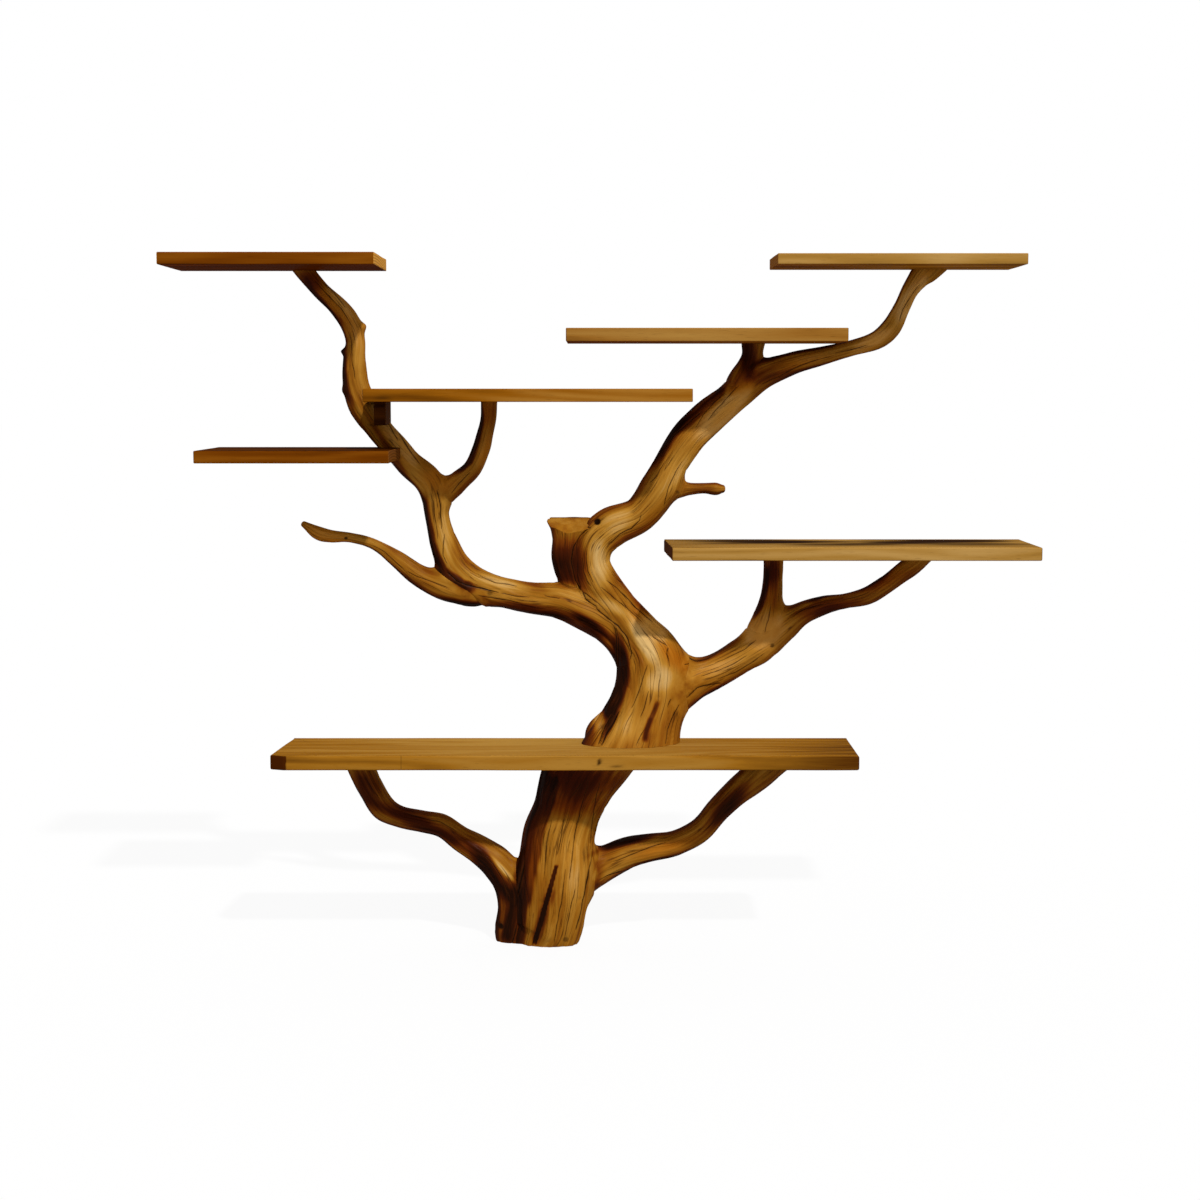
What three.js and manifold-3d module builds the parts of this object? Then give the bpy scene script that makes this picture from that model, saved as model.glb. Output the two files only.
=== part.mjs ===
// A bookshelf in the shape of a tree: seven planks carried on the limbs of a driftwood trunk.
// The trunk stands on its foot, and every limb is sawn flat behind, so that the tree lies on a wall.
// Millimetres. X runs along the wall, Y into the wall and Z up.
// The pieces are laid out from the foot at the wall, and the whole tree is then moved
// so that its origin lies on the sawn back of the trunk.

import * as THREE from 'three';
import { mergeVertices } from 'three/addons/utils/BufferGeometryUtils.js';
import Module from 'manifold-3d';

const wasm = await Module();
wasm.setup();

// The tree as a whole
const treeSpread = 1770;
const treeHeight = 1440;
const trunkGirth = 180;

// Fits and cuts
const seatGap = 0.3;
const overrun = 20;

// Sections of the limbs: depth for a given width, and how far the middle stands off the wall for that depth
const trunkDepthShare = 0.78;
const stubDepthShare = 0.6;
const limbDepthShare = 0.84;
const branchDepthShare = 0.9;
const standOffShare = 0.75;
const sidesRound = 12;
const ringsPerStation = 2;
const looksPerRing = 2;
const halvings = 30;

// Planks: pinShare is the place on the tree that a plank keeps,
// and alongShare the part of the plank that lies to the left of it
const upperLeft = {
  name: 'shelf_upper_left',
  pinShare: -0.345,
  alongShare: 0.62,
  topShare: 1,
  length: 431,
  thickness: 24.5,
  depth: 240,
};
const middleLeft = {
  name: 'shelf_middle_left',
  pinShare: -0.268,
  alongShare: 0,
  topShare: 0.813,
  length: 660,
  thickness: 26.5,
  depth: 230,
};
const lowerLeft = {
  name: 'shelf_lower_left',
  pinShare: -0.236,
  alongShare: 1,
  topShare: 0.728,
  length: 387,
  thickness: 25,
  depth: 280,
};
const upperCentre = {
  name: 'shelf_upper_centre',
  pinShare: 0.18,
  alongShare: 0.685,
  topShare: 0.897,
  length: 565,
  thickness: 27,
  depth: 215,
};
const upperRight = {
  name: 'shelf_upper_right',
  pinShare: 0.381,
  alongShare: 0.638,
  topShare: 1,
  length: 501,
  thickness: 22,
  depth: 200,
};
const right = {
  name: 'shelf_right',
  pinShare: 0.207,
  alongShare: 0.298,
  topShare: 0.5925,
  length: 745,
  thickness: 27,
  depth: 235,
  endSkew: -9,
};
const bottom = {
  name: 'shelf_bottom',
  pinShare: -0.041,
  alongShare: 0.5,
  topShare: 0.2965,
  length: 1202,
  thickness: 30,
  depth: 222,
  endSkew: 18,
  clipLength: 28,
  clipDepth: 12,
};
const planks = [upperLeft, middleLeft, lowerLeft, upperCentre, upperRight, right, bottom];

// Joinery
const seatDowelDiameter = 8;
const seatDowelInLimb = 20;
const seatDowelInPlankShare = 0.6;
const jointDowelDiameter = 12;
const jointDowelLength = 50;
const smallDowelDiameter = 10;
const smallDowelLength = 36;
const rodDiameter = 12;
const rodBite = 80;
const rodPitch = 55;
const pegSides = 10;
const keyholeFacets = 5;
const cleatWidth = 25;
const cleatHeight = 48;
const cleatDepth = 110;
const cleatInset = 9;
const footCutShare = -0.006;
const stubCutShare = 0.625;
const stubCutTilt = 15;

// Hangers: a steel keyhole plate let into the back, held by two countersunk screws
const plateThickness = 2;
const plateRim = 2;
const plateEnd = 7;
const keyholeHead = 8.5;
const keyholeSlot = 4.5;
const keyholeTravel = 4.5;
const keyholeAside = 9;
const keyPocketDepth = 9;
const screwSpacing = 42;
const screwHead = 7.4;
const screwShank = 3.6;
const screwLength = 22;
const screwTip = 4;
const screwSides = 8;
const hangerInset = 85;

// Limb stations, from root to tip: each is [across, up, girth],
// shares of the tree's spread, of its height and of the trunk's girth
const trunkBaseShares = [
  [-0.067, -0.03, 0.66], [-0.068, -0.008, 0.66], [-0.061, 0.014, 0.76], [-0.056, 0.052, 0.83],
  [-0.0535, 0.09, 0.89], [-0.051, 0.124, 0.91], [-0.049, 0.157, 0.87], [-0.042, 0.187, 0.84],
  [-0.034, 0.217, 0.88], [-0.023, 0.248, 0.93], [-0.007, 0.283, 1.02], [0.006, 0.31, 1.08],
];
const stemShares = [
  [0.032, 0.271, 1.17], [0.041, 0.297, 1.08], [0.048, 0.322, 0.98], [0.055, 0.351, 0.88],
  [0.06, 0.385, 0.81], [0.059, 0.422, 0.77], [0.042, 0.457, 0.59], [0.018, 0.496, 0.49],
  [-0.002, 0.531, 0.48], [-0.011, 0.56, 0.46], [-0.006, 0.59, 0.48], [0.014, 0.613, 0.48],
  [0.047, 0.632, 0.42], [0.071, 0.669, 0.46], [0.086, 0.708, 0.41], [0.107, 0.747, 0.41],
  [0.135, 0.779, 0.4], [0.164, 0.806, 0.35], [0.192, 0.833, 0.33], [0.226, 0.849, 0.27],
  [0.26, 0.86, 0.22], [0.296, 0.871, 0.19], [0.326, 0.882, 0.22], [0.344, 0.901, 0.24],
  [0.356, 0.929, 0.2], [0.365, 0.953, 0.2], [0.375, 0.971, 0.24], [0.385, 0.985, 0.33],
  [0.397, 1.005, 0.42],
];
const wallFaceStation = 5;
const trunkHangerStation = 3;
const crownStation = 12;
const leftShares = [
  [0.02, 0.332, 0.33], [0.035, 0.362, 0.36], [0.041, 0.397, 0.39], [0.033, 0.432, 0.42],
  [0.013, 0.465, 0.45], [-0.016, 0.489, 0.46], [-0.048, 0.503, 0.42], [-0.084, 0.508, 0.38],
  [-0.12, 0.517, 0.37], [-0.152, 0.531, 0.38], [-0.175, 0.556, 0.36], [-0.187, 0.59, 0.32],
  [-0.194, 0.625, 0.29], [-0.196, 0.654, 0.33], [-0.205, 0.681, 0.35], [-0.227, 0.705, 0.32],
  [-0.244, 0.729, 0.31], [-0.263, 0.756, 0.32], [-0.28, 0.788, 0.36], [-0.289, 0.818, 0.31],
  [-0.291, 0.852, 0.27], [-0.29, 0.882, 0.23], [-0.296, 0.908, 0.24], [-0.311, 0.933, 0.22],
  [-0.33, 0.955, 0.21], [-0.347, 0.98, 0.23], [-0.36, 1.003, 0.26],
];
const leftRootStation = 6;
const leftSpliceStation = 16.6;
const stationsNearSplice = 4;
const stationsNearTip = 4;
const deadBranchShares = [
  [-0.132, 0.51, 0.32], [-0.15, 0.513, 0.33], [-0.17, 0.518, 0.33], [-0.191, 0.525, 0.32],
  [-0.217, 0.54, 0.27], [-0.244, 0.565, 0.21], [-0.27, 0.585, 0.13], [-0.297, 0.595, 0.12],
  [-0.321, 0.598, 0.15], [-0.337, 0.603, 0.16], [-0.354, 0.615, 0.07],
];
const twigShares = [
  [0.074, 0.674, 0.26], [0.091, 0.667, 0.21], [0.107, 0.667, 0.14], [0.124, 0.668, 0.11],
  [0.138, 0.667, 0.13], [0.146, 0.667, 0.08],
];
const stubShares = [
  [-0.017, 0.504, 0.42], [-0.026, 0.534, 0.47], [-0.032, 0.566, 0.52], [-0.033, 0.595, 0.49],
  [-0.031, 0.624, 0.65], [-0.03, 0.645, 0.72],
];
const lumpShares = [
  [-0.005, 0.283, 0.26], [-0.002, 0.306, 0.3], [0.007, 0.326, 0.21], [0.02, 0.342, 0.12],
];
const rightLimbShares = [
  [0.066, 0.364, 0.5], [0.091, 0.377, 0.52], [0.117, 0.39, 0.47], [0.142, 0.403, 0.42],
  [0.168, 0.421, 0.41], [0.194, 0.441, 0.42], [0.219, 0.464, 0.36], [0.241, 0.483, 0.29],
  [0.267, 0.496, 0.24], [0.294, 0.502, 0.2], [0.32, 0.51, 0.22], [0.342, 0.527, 0.22],
  [0.358, 0.542, 0.23], [0.376, 0.559, 0.25], [0.39, 0.577, 0.26], [0.404, 0.595, 0.28],
];
const rightPropShares = [
  [0.187, 0.434, 0.4], [0.196, 0.463, 0.38], [0.203, 0.495, 0.3], [0.206, 0.526, 0.25],
  [0.207, 0.56, 0.24], [0.207, 0.59, 0.26],
];
const centrePropShares = [
  [0.153, 0.797, 0.34], [0.166, 0.822, 0.33], [0.175, 0.846, 0.27], [0.179, 0.862, 0.25],
  [0.18, 0.878, 0.28], [0.181, 0.895, 0.3],
];
const leftBraceShares = [
  [-0.108, -0.023, 0.3], [-0.109, 0.009, 0.37], [-0.106, 0.047, 0.38], [-0.11, 0.083, 0.42],
  [-0.124, 0.11, 0.42], [-0.144, 0.129, 0.37], [-0.167, 0.146, 0.32], [-0.19, 0.166, 0.29],
  [-0.215, 0.173, 0.26], [-0.242, 0.18, 0.26], [-0.262, 0.194, 0.31], [-0.276, 0.221, 0.31],
  [-0.287, 0.25, 0.32], [-0.297, 0.28, 0.33], [-0.306, 0.306, 0.34],
];
const braceDowelStation = 3.4;
const rightBraceShares = [
  [-0.039, 0.07, 0.36], [-0.016, 0.092, 0.42], [0.007, 0.111, 0.42], [0.034, 0.126, 0.38],
  [0.063, 0.134, 0.34], [0.093, 0.142, 0.31], [0.121, 0.16, 0.3], [0.143, 0.191, 0.3],
  [0.165, 0.218, 0.33], [0.186, 0.24, 0.38], [0.208, 0.265, 0.4], [0.23, 0.29, 0.43],
];
const middlePropShares = [
  [-0.195, 0.645, 0.28], [-0.182, 0.663, 0.28], [-0.167, 0.68, 0.25], [-0.152, 0.697, 0.22],
  [-0.142, 0.723, 0.2], [-0.137, 0.747, 0.18], [-0.133, 0.77, 0.18], [-0.132, 0.794, 0.19],
  [-0.131, 0.815, 0.2],
];

// Finishes
const planedWood = () => new THREE.MeshStandardMaterial({ color: 0x9c6c2c, roughness: 0.55, metalness: 0 });
const limbWood = () => new THREE.MeshStandardMaterial({ color: 0x94601f, roughness: 0.65, metalness: 0 });
const dowelWood = () => new THREE.MeshStandardMaterial({ color: 0xc9a26a, roughness: 0.7, metalness: 0 });
const zincSteel = () => new THREE.MeshStandardMaterial({ color: 0xa9adb0, roughness: 0.35, metalness: 1 });

const upright = new THREE.Vector3(0, 1, 0);
const reach = treeSpread + treeHeight;

// Solids from closed geometry, and geometry from solids

function solidOf(geometry) {
  geometry.deleteAttribute('normal');
  geometry.deleteAttribute('uv');
  const welded = mergeVertices(geometry);
  const vertProperties = Float32Array.from(welded.attributes.position.array);
  const triVerts = Uint32Array.from(welded.index.array);
  return new wasm.Manifold(new wasm.Mesh({ numProp: 3, vertProperties, triVerts }));
}

function geometryOf(solid) {
  const { vertProperties, triVerts } = solid.getMesh();
  const geometry = new THREE.BufferGeometry();
  geometry.setAttribute('position', new THREE.BufferAttribute(vertProperties, 3));
  geometry.setIndex(new THREE.BufferAttribute(triVerts, 1));
  return geometry;
}

/** A box between two opposite corners. */
function boxBetween(low, high) {
  const size = high.clone().sub(low);
  const geometry = new THREE.BoxGeometry(size.x, size.y, size.z);
  const middle = low.clone().add(high).multiplyScalar(0.5);
  geometry.translate(middle.x, middle.y, middle.z);
  return solidOf(geometry);
}

/** Everything over a height. */
function allAbove(height) {
  return boxBetween(new THREE.Vector3(-reach, -reach, height), new THREE.Vector3(reach, reach, reach));
}

/** Everything under a height. */
function allBelow(height) {
  return boxBetween(new THREE.Vector3(-reach, -reach, -reach), new THREE.Vector3(reach, reach, height));
}

// Limbs

/** The line of a limb: a smooth curve through its stations, which carries the girth as its Y. */
function limbLine(stationShares, depthShare) {
  const stations = stationShares.map(([across, up, girth]) => (
    new THREE.Vector3(across * treeSpread, girth * trunkGirth, up * treeHeight)
  ));
  const curve = new THREE.CatmullRomCurve3(stations, false, 'catmullrom');
  return { curve, depthShare, tip: stations.length - 1 };
}

/** Girth, half depth and middle of a limb at a station, which may be a fraction. */
function measureAt(line, station) {
  const here = line.curve.getPoint(station / line.tip);
  const halfDepth = line.depthShare * here.y / 2;
  return { girth: here.y, halfDepth, middle: new THREE.Vector3(here.x, -standOffShare * halfDepth, here.z) };
}

/** The way a limb runs at a station, along the wall. */
function headingAt(line, station) {
  return line.curve.getTangent(station / line.tip).setY(0).normalize();
}

/** The station that lies a length further along a limb. */
function stationAfter(line, station, length) {
  const here = measureAt(line, station).middle.setY(0);
  const next = measureAt(line, station + 1).middle.setY(0);
  return station + length / here.distanceTo(next);
}

/** The station where a limb that rises from one station to another reaches a height. */
function stationAtHeight(line, height, lowStation, highStation) {
  let low = lowStation;
  let high = highStation;
  for (let halving = 0; halving < halvings; halving += 1) {
    const between = (low + high) / 2;
    if (measureAt(line, between).middle.z < height) low = between;
    else high = between;
  }
  return low;
}

/** How far a place lies outside a limb, seen from the front. */
function distanceOutside(line, place) {
  const looks = line.tip * ringsPerStation * looksPerRing;
  const distances = Array.from({ length: looks + 1 }, (_, look) => {
    const { girth, middle } = measureAt(line, line.tip * look / looks);
    return Math.hypot(place.x - middle.x, place.z - middle.z) - girth / 2;
  });
  return Math.min(...distances);
}

/** The station where a limb comes out of the limb that it grows from. */
function stationOutOf(line, parentLine) {
  let inside = 0;
  let outside = line.tip - 1;
  for (let halving = 0; halving < halvings; halving += 1) {
    const between = (inside + outside) / 2;
    if (distanceOutside(parentLine, measureAt(line, between).middle) < 0) inside = between;
    else outside = between;
  }
  return outside;
}

/** One section of a limb: an ellipse across its heading, sawn flat where it would pass the wall. */
function sectionAt(line, station, grown) {
  const { girth, halfDepth, middle } = measureAt(line, station);
  const heading = headingAt(line, station);
  const aside = new THREE.Vector3(heading.z, 0, -heading.x);
  return Array.from({ length: sidesRound }, (_, side) => {
    const turn = (side + 0.5) * 2 * Math.PI / sidesRound;
    const point = middle.clone().addScaledVector(aside, (girth / 2 + grown) * Math.cos(turn));
    point.y = Math.min(point.y + (halfDepth + grown) * Math.sin(turn), grown);
    return point;
  });
}

function middleOf(ring) {
  const middle = new THREE.Vector3();
  ring.forEach((point) => middle.add(point));
  return middle.divideScalar(ring.length);
}

/** A closed skin over rings of as many points each, with a fan over each end. */
function skinOver(rings) {
  const sides = rings[0].length;
  const endStart = (rings.length - 1) * sides;
  const points = [...rings.flat(), middleOf(rings[0]), middleOf(rings[rings.length - 1])];
  const rootMiddle = points.length - 2;
  const tipMiddle = points.length - 1;
  const faces = [];
  for (let side = 0; side < sides; side += 1) {
    const next = (side + 1) % sides;
    for (let start = 0; start < endStart; start += sides) {
      faces.push(start + side, start + next, start + sides + next);
      faces.push(start + side, start + sides + next, start + sides + side);
    }
    faces.push(rootMiddle, next, side);
    faces.push(tipMiddle, endStart + side, endStart + next);
  }
  const geometry = new THREE.BufferGeometry().setFromPoints(points);
  geometry.setIndex(faces);
  return geometry;
}

/** The stations of the sections between two places, the same ones for every stretch of a limb. */
function sectionStations(from, to) {
  const first = Math.floor(from * ringsPerStation) + 1;
  const last = Math.ceil(to * ringsPerStation) - 1;
  const between = Array.from({ length: last - first + 1 }, (_, step) => (first + step) / ringsPerStation);
  return [from, ...between, to];
}

/** A stretch of a limb between two stations, grown all round where it serves as a cutter. */
function stretchOf(line, from = 0, to = line.tip, grown = 0) {
  return solidOf(skinOver(sectionStations(from, to).map((station) => sectionAt(line, station, grown))));
}

const trunkBaseLine = limbLine(trunkBaseShares, trunkDepthShare);
const stemLine = limbLine(stemShares, trunkDepthShare);
const leftLine = limbLine(leftShares, limbDepthShare);
const deadBranchLine = limbLine(deadBranchShares, branchDepthShare);
const twigLine = limbLine(twigShares, branchDepthShare);
const stubLine = limbLine(stubShares, stubDepthShare);
const lumpLine = limbLine(lumpShares, trunkDepthShare);
const rightLimbLine = limbLine(rightLimbShares, limbDepthShare);
const rightPropLine = limbLine(rightPropShares, branchDepthShare);
const centrePropLine = limbLine(centrePropShares, branchDepthShare);
const leftBraceLine = limbLine(leftBraceShares, branchDepthShare);
const rightBraceLine = limbLine(rightBraceShares, branchDepthShare);
const middlePropLine = limbLine(middlePropShares, branchDepthShare);

// Planks

/** Adds a plank's ends and its upper and lower faces, worked out from where it is pinned to the tree. */
function layPlank(plank) {
  plank.left = plank.pinShare * treeSpread - plank.alongShare * plank.length;
  plank.right = plank.left + plank.length;
  plank.top = plank.topShare * treeHeight;
  plank.underside = plank.top - plank.thickness;
  plank.middle = (plank.top + plank.underside) / 2;
}
planks.forEach(layPlank);

/** A plank, its back edge on the wall, with a left end that may be skewed and clipped at the front. */
function plankSolid(plank) {
  const { left, right: far, depth, underside, thickness } = plank;
  const { endSkew = 0, clipLength = 0, clipDepth = 0 } = plank;
  const outline = new THREE.Shape();
  outline.moveTo(left + clipLength, -depth);
  outline.lineTo(far, -depth);
  outline.lineTo(far, 0);
  outline.lineTo(left + endSkew, 0);
  if (clipDepth > 0) outline.lineTo(left, clipDepth - depth);
  const geometry = new THREE.ExtrudeGeometry(outline, { depth: thickness, bevelEnabled: false });
  geometry.translate(0, 0, underside);
  return solidOf(geometry);
}

/** The space of a plank and of the gap round it. */
function plankSpace(plank) {
  return boxBetween(
    new THREE.Vector3(plank.left - seatGap, -plank.depth - seatGap, plank.underside - seatGap),
    new THREE.Vector3(plank.right + seatGap, overrun, plank.top + seatGap),
  );
}

// Pieces of wood, by name, before and while they are drilled

const woods = new Map();

function cutFrom(name, cutter) {
  woods.set(name, woods.get(name).subtract(cutter));
}

/** The cut-off stub of an old stem, its end sawn at a slant that faces forwards. */
function stubSolid(grown) {
  const saw = new THREE.BoxGeometry(treeSpread, treeSpread, treeSpread);
  saw.translate(0, 0, treeSpread / 2 + grown);
  saw.rotateX(THREE.MathUtils.degToRad(stubCutTilt));
  saw.translate(0, 0, stubCutShare * treeHeight);
  return stretchOf(stubLine, 0, stubLine.tip, grown).subtract(solidOf(saw));
}

/** The upper trunk: its stem, the root of the left limb that winds over it, the stub and a burl. */
function trunkUpperSolid(grown = 0) {
  return stretchOf(stemLine, 0, crownStation, grown)
    .add(stretchOf(leftLine, 0, leftRootStation, grown))
    .add(stubSolid(grown))
    .add(stretchOf(lumpLine, 0, lumpLine.tip, grown));
}

/** The largest body of a solid, without the offcuts that the saw leaves beside it. */
function withoutOffcuts(solid) {
  return solid.decompose().reduce((kept, body) => (body.volume() > kept.volume() ? body : kept));
}

/** A limb that is coped to the piece it grows out of. */
function copedLimb(line, parent) {
  return withoutOffcuts(stretchOf(line).subtract(parent));
}

/** A coped limb that ends under a plank. */
function copedProp(line, parent, plank) {
  return withoutOffcuts(copedLimb(line, parent).subtract(allAbove(plank.underside - seatGap)));
}

function makeTree() {
  const trunkBaseSpace = stretchOf(trunkBaseLine, 0, trunkBaseLine.tip, seatGap);
  const trunkUpperSpace = trunkUpperSolid(seatGap);
  const leftSpace = stretchOf(leftLine, 0, leftLine.tip, seatGap);
  const crownRoot = stationAfter(stemLine, crownStation, seatGap);
  const crownSpace = stretchOf(stemLine, crownStation, stemLine.tip, seatGap);
  const rightLimbSpace = stretchOf(rightLimbLine, 0, rightLimbLine.tip, seatGap);
  const foot = allBelow(footCutShare * treeHeight);

  woods.set('trunk_base', stretchOf(trunkBaseLine)
    .subtract(foot)
    .subtract(allAbove(bottom.underside - seatGap)));
  woods.set('trunk_upper', trunkUpperSolid().subtract(allBelow(bottom.top + seatGap)));
  woods.set('crown_limb', stretchOf(stemLine, crownRoot)
    .add(stretchOf(twigLine))
    .subtract(plankSpace(upperCentre))
    .subtract(allAbove(upperRight.underside - seatGap)));
  woods.set('left_limb_lower', stretchOf(
    leftLine,
    stationAfter(leftLine, leftRootStation, seatGap),
    leftSpliceStation,
  ).subtract(stubSolid(seatGap)));
  woods.set('left_limb_upper', stretchOf(leftLine, stationAfter(leftLine, leftSpliceStation, seatGap))
    .subtract(allAbove(upperLeft.underside - seatGap)));
  woods.set('dead_branch', copedLimb(deadBranchLine, leftSpace));
  woods.set('right_limb', copedProp(rightLimbLine, trunkUpperSpace, right));
  woods.set('brace_left', copedProp(leftBraceLine, trunkBaseSpace, bottom).subtract(foot));
  woods.set('brace_right', copedProp(rightBraceLine, trunkBaseSpace, bottom));
  woods.set('prop_middle_left', copedProp(middlePropLine, leftSpace, middleLeft));
  woods.set('prop_centre', copedProp(centrePropLine, crownSpace, upperCentre));
  woods.set('prop_right', copedProp(rightPropLine, rightLimbSpace, right));
  woods.set('cleat_middle_left', cleatSolid().subtract(leftSpace));

  const limbSpace = leftSpace
    .add(crownSpace)
    .add(stretchOf(centrePropLine, 0, centrePropLine.tip, seatGap));
  planks.forEach((plank) => woods.set(plank.name, plankSolid(plank)));
  [middleLeft, lowerLeft].forEach((plank) => notchPlank(plank, limbSpace));
}

/** Notches a plank round the limbs that pass it. */
function notchPlank(plank, limbSpace) {
  woods.set(plank.name, withoutOffcuts(woods.get(plank.name).subtract(limbSpace)));
}

/** The square block under the middle left plank, in front of the limb that passes behind it. */
function cleatSolid() {
  const near = middleLeft.left + cleatInset;
  return boxBetween(
    new THREE.Vector3(near, -cleatDepth, middleLeft.underside - seatGap - cleatHeight),
    new THREE.Vector3(near + cleatWidth, 0, middleLeft.underside - seatGap),
  );
}

// Dowels and rods

/** Where a straight round piece lies between two points. */
function lieBetween(start, end) {
  const run = end.clone().sub(start);
  return {
    length: run.length(),
    position: start.clone().add(end).multiplyScalar(0.5),
    quaternion: new THREE.Quaternion().setFromUnitVectors(upright, run.normalize()),
  };
}

function pegGeometry(diameter, length) {
  return new THREE.CylinderGeometry(diameter / 2, diameter / 2, length, pegSides);
}

/** A peg between two points, in a hole that is bored through each piece that it joins. */
function addPeg(group, name, start, end, diameter, material, joins) {
  const { length, position, quaternion } = lieBetween(start, end);
  const hole = pegGeometry(diameter + 2 * seatGap, length + 2 * seatGap);
  hole.applyQuaternion(quaternion);
  hole.translate(position.x, position.y, position.z);
  const holeSolid = solidOf(hole);
  joins.forEach((piece) => cutFrom(piece, holeSolid));
  const peg = new THREE.Mesh(geometryOf(solidOf(pegGeometry(diameter, length))), material);
  peg.name = name;
  peg.position.copy(position);
  peg.quaternion.copy(quaternion);
  group.add(peg);
}

/** A dowel across the seam of two limbs, along the heading of the one that grows out of the other. */
function addJointDowel(group, name, joins, line, station, diameter, length) {
  const { middle } = measureAt(line, station);
  const heading = headingAt(line, station);
  const start = middle.clone().addScaledVector(heading, -length / 2);
  const end = middle.clone().addScaledVector(heading, length / 2);
  addPeg(group, name, start, end, diameter, dowelWood(), joins);
}

/** A joint dowel where a limb comes out of the side of another. */
function addOutgrowthDowel(group, name, joins, line, parentLine, diameter, length) {
  addJointDowel(group, name, joins, line, stationOutOf(line, parentLine), diameter, length);
}

/** The level dowel from the side of the trunk's foot into the root of the brace that runs down beside it. */
function addBraceDowel(group) {
  const { middle } = measureAt(leftBraceLine, braceDowelStation);
  const station = stationAtHeight(trunkBaseLine, middle.z, 0, trunkBaseLine.tip);
  const trunk = measureAt(trunkBaseLine, station);
  const start = middle.clone().setX(trunk.middle.x - trunk.girth / 2 - smallDowelLength / 2);
  const end = start.clone().setX(start.x + smallDowelLength);
  const joins = ['trunk_base', 'brace_left'];
  addPeg(group, 'dowel_brace_left', start, end, smallDowelDiameter, dowelWood(), joins);
}

/** An upright dowel from the end of a limb into the plank that rests on it. */
function addSeatDowel(group, name, limb, line, plank) {
  const halfway = plank.underside - seatDowelInLimb / 2;
  const heart = stationAtHeight(line, halfway, line.tip - stationsNearTip, line.tip);
  const start = measureAt(line, heart).middle.setZ(plank.underside - seatDowelInLimb);
  const end = start.clone().setZ(plank.underside + seatDowelInPlankShare * plank.thickness);
  addPeg(group, name, start, end, seatDowelDiameter, dowelWood(), [limb, plank.name]);
}

/** The level dowel from the end of the lower left plank into the limb beside it. */
function addSideDowel(group) {
  const rootward = leftSpliceStation - stationsNearSplice;
  const station = stationAtHeight(leftLine, lowerLeft.middle, rootward, leftLine.tip);
  const { girth, middle } = measureAt(leftLine, station);
  const seam = middle.x - girth / 2 / headingAt(leftLine, station).z;
  const start = middle.clone().setX(seam - smallDowelLength / 2);
  const end = middle.clone().setX(seam + smallDowelLength / 2);
  const joins = ['left_limb_lower', lowerLeft.name];
  addPeg(group, 'dowel_shelf_lower_left', start, end, seatDowelDiameter, dowelWood(), joins);
}

/** The long dowel that skewers the short centre prop, from the crown limb into the plank over it. */
function addThroughDowel(group) {
  const seatStation = stationAtHeight(centrePropLine, upperCentre.underside, 0, centrePropLine.tip);
  const seat = measureAt(centrePropLine, seatStation).middle;
  const seam = measureAt(centrePropLine, stationOutOf(centrePropLine, stemLine)).middle.setY(seat.y);
  const way = seat.clone().sub(seam).normalize();
  const start = seam.clone().addScaledVector(way, -smallDowelLength / 2);
  const end = seat.clone().addScaledVector(way, seatDowelInPlankShare * upperCentre.thickness);
  const joins = ['crown_limb', 'prop_centre', upperCentre.name];
  addPeg(group, 'dowel_prop_centre', start, end, seatDowelDiameter, dowelWood(), joins);
}

/** The two threaded rods that pass through the bottom plank and clamp it between the halves of the trunk. */
function addTrunkRods(group) {
  const lowStation = stationAtHeight(trunkBaseLine, bottom.underside - rodBite, 0, trunkBaseLine.tip);
  const highStation = stationAtHeight(stemLine, bottom.top + rodBite, 0, crownStation);
  const baseEnd = stationAtHeight(trunkBaseLine, bottom.underside, 0, trunkBaseLine.tip);
  const stemEnd = stationAtHeight(stemLine, bottom.top, 0, crownStation);
  const low = measureAt(trunkBaseLine, lowStation).middle;
  const high = measureAt(stemLine, highStation).middle;
  const seam = (measureAt(trunkBaseLine, baseEnd).middle.x + measureAt(stemLine, stemEnd).middle.x) / 2;
  low.x = (low.x + seam) / 2;
  high.x = (high.x + seam) / 2;
  high.y = low.y;
  const joins = ['trunk_base', bottom.name, 'trunk_upper'];
  [['rod_trunk_front', -rodPitch / 2], ['rod_trunk_back', rodPitch / 2]].forEach(([name, aside]) => {
    const shift = new THREE.Vector3(0, aside, 0);
    addPeg(group, name, low.clone().add(shift), high.clone().add(shift), rodDiameter, zincSteel(), joins);
  });
}

/** The dowel that holds the square block to the front of the limb behind it. */
function addCleatDowel(group) {
  const height = middleLeft.underside - seatGap - cleatHeight / 2;
  const station = stationAtHeight(leftLine, height, leftSpliceStation, leftLine.tip);
  const { halfDepth, middle } = measureAt(leftLine, station);
  const across = middleLeft.left + cleatInset + cleatWidth / 2;
  const seam = new THREE.Vector3(across, middle.y - halfDepth, height);
  const start = seam.clone().setY(seam.y - smallDowelLength / 2);
  const end = seam.clone().setY(seam.y + smallDowelLength / 2);
  const joins = ['cleat_middle_left', 'left_limb_upper'];
  addPeg(group, 'dowel_cleat', start, end, seatDowelDiameter, dowelWood(), joins);
}

/** The dowels where one length of a limb goes on from another. */
function addLengthDowels(group) {
  [
    ['dowel_crown', ['trunk_upper', 'crown_limb'], stemLine, crownStation],
    ['dowel_left_limb', ['trunk_upper', 'left_limb_lower'], leftLine, leftRootStation],
    ['dowel_left_splice', ['left_limb_lower', 'left_limb_upper'], leftLine, leftSpliceStation],
  ].forEach(([name, joins, line, station]) => {
    addJointDowel(group, name, joins, line, station, jointDowelDiameter, jointDowelLength);
  });
}

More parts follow.
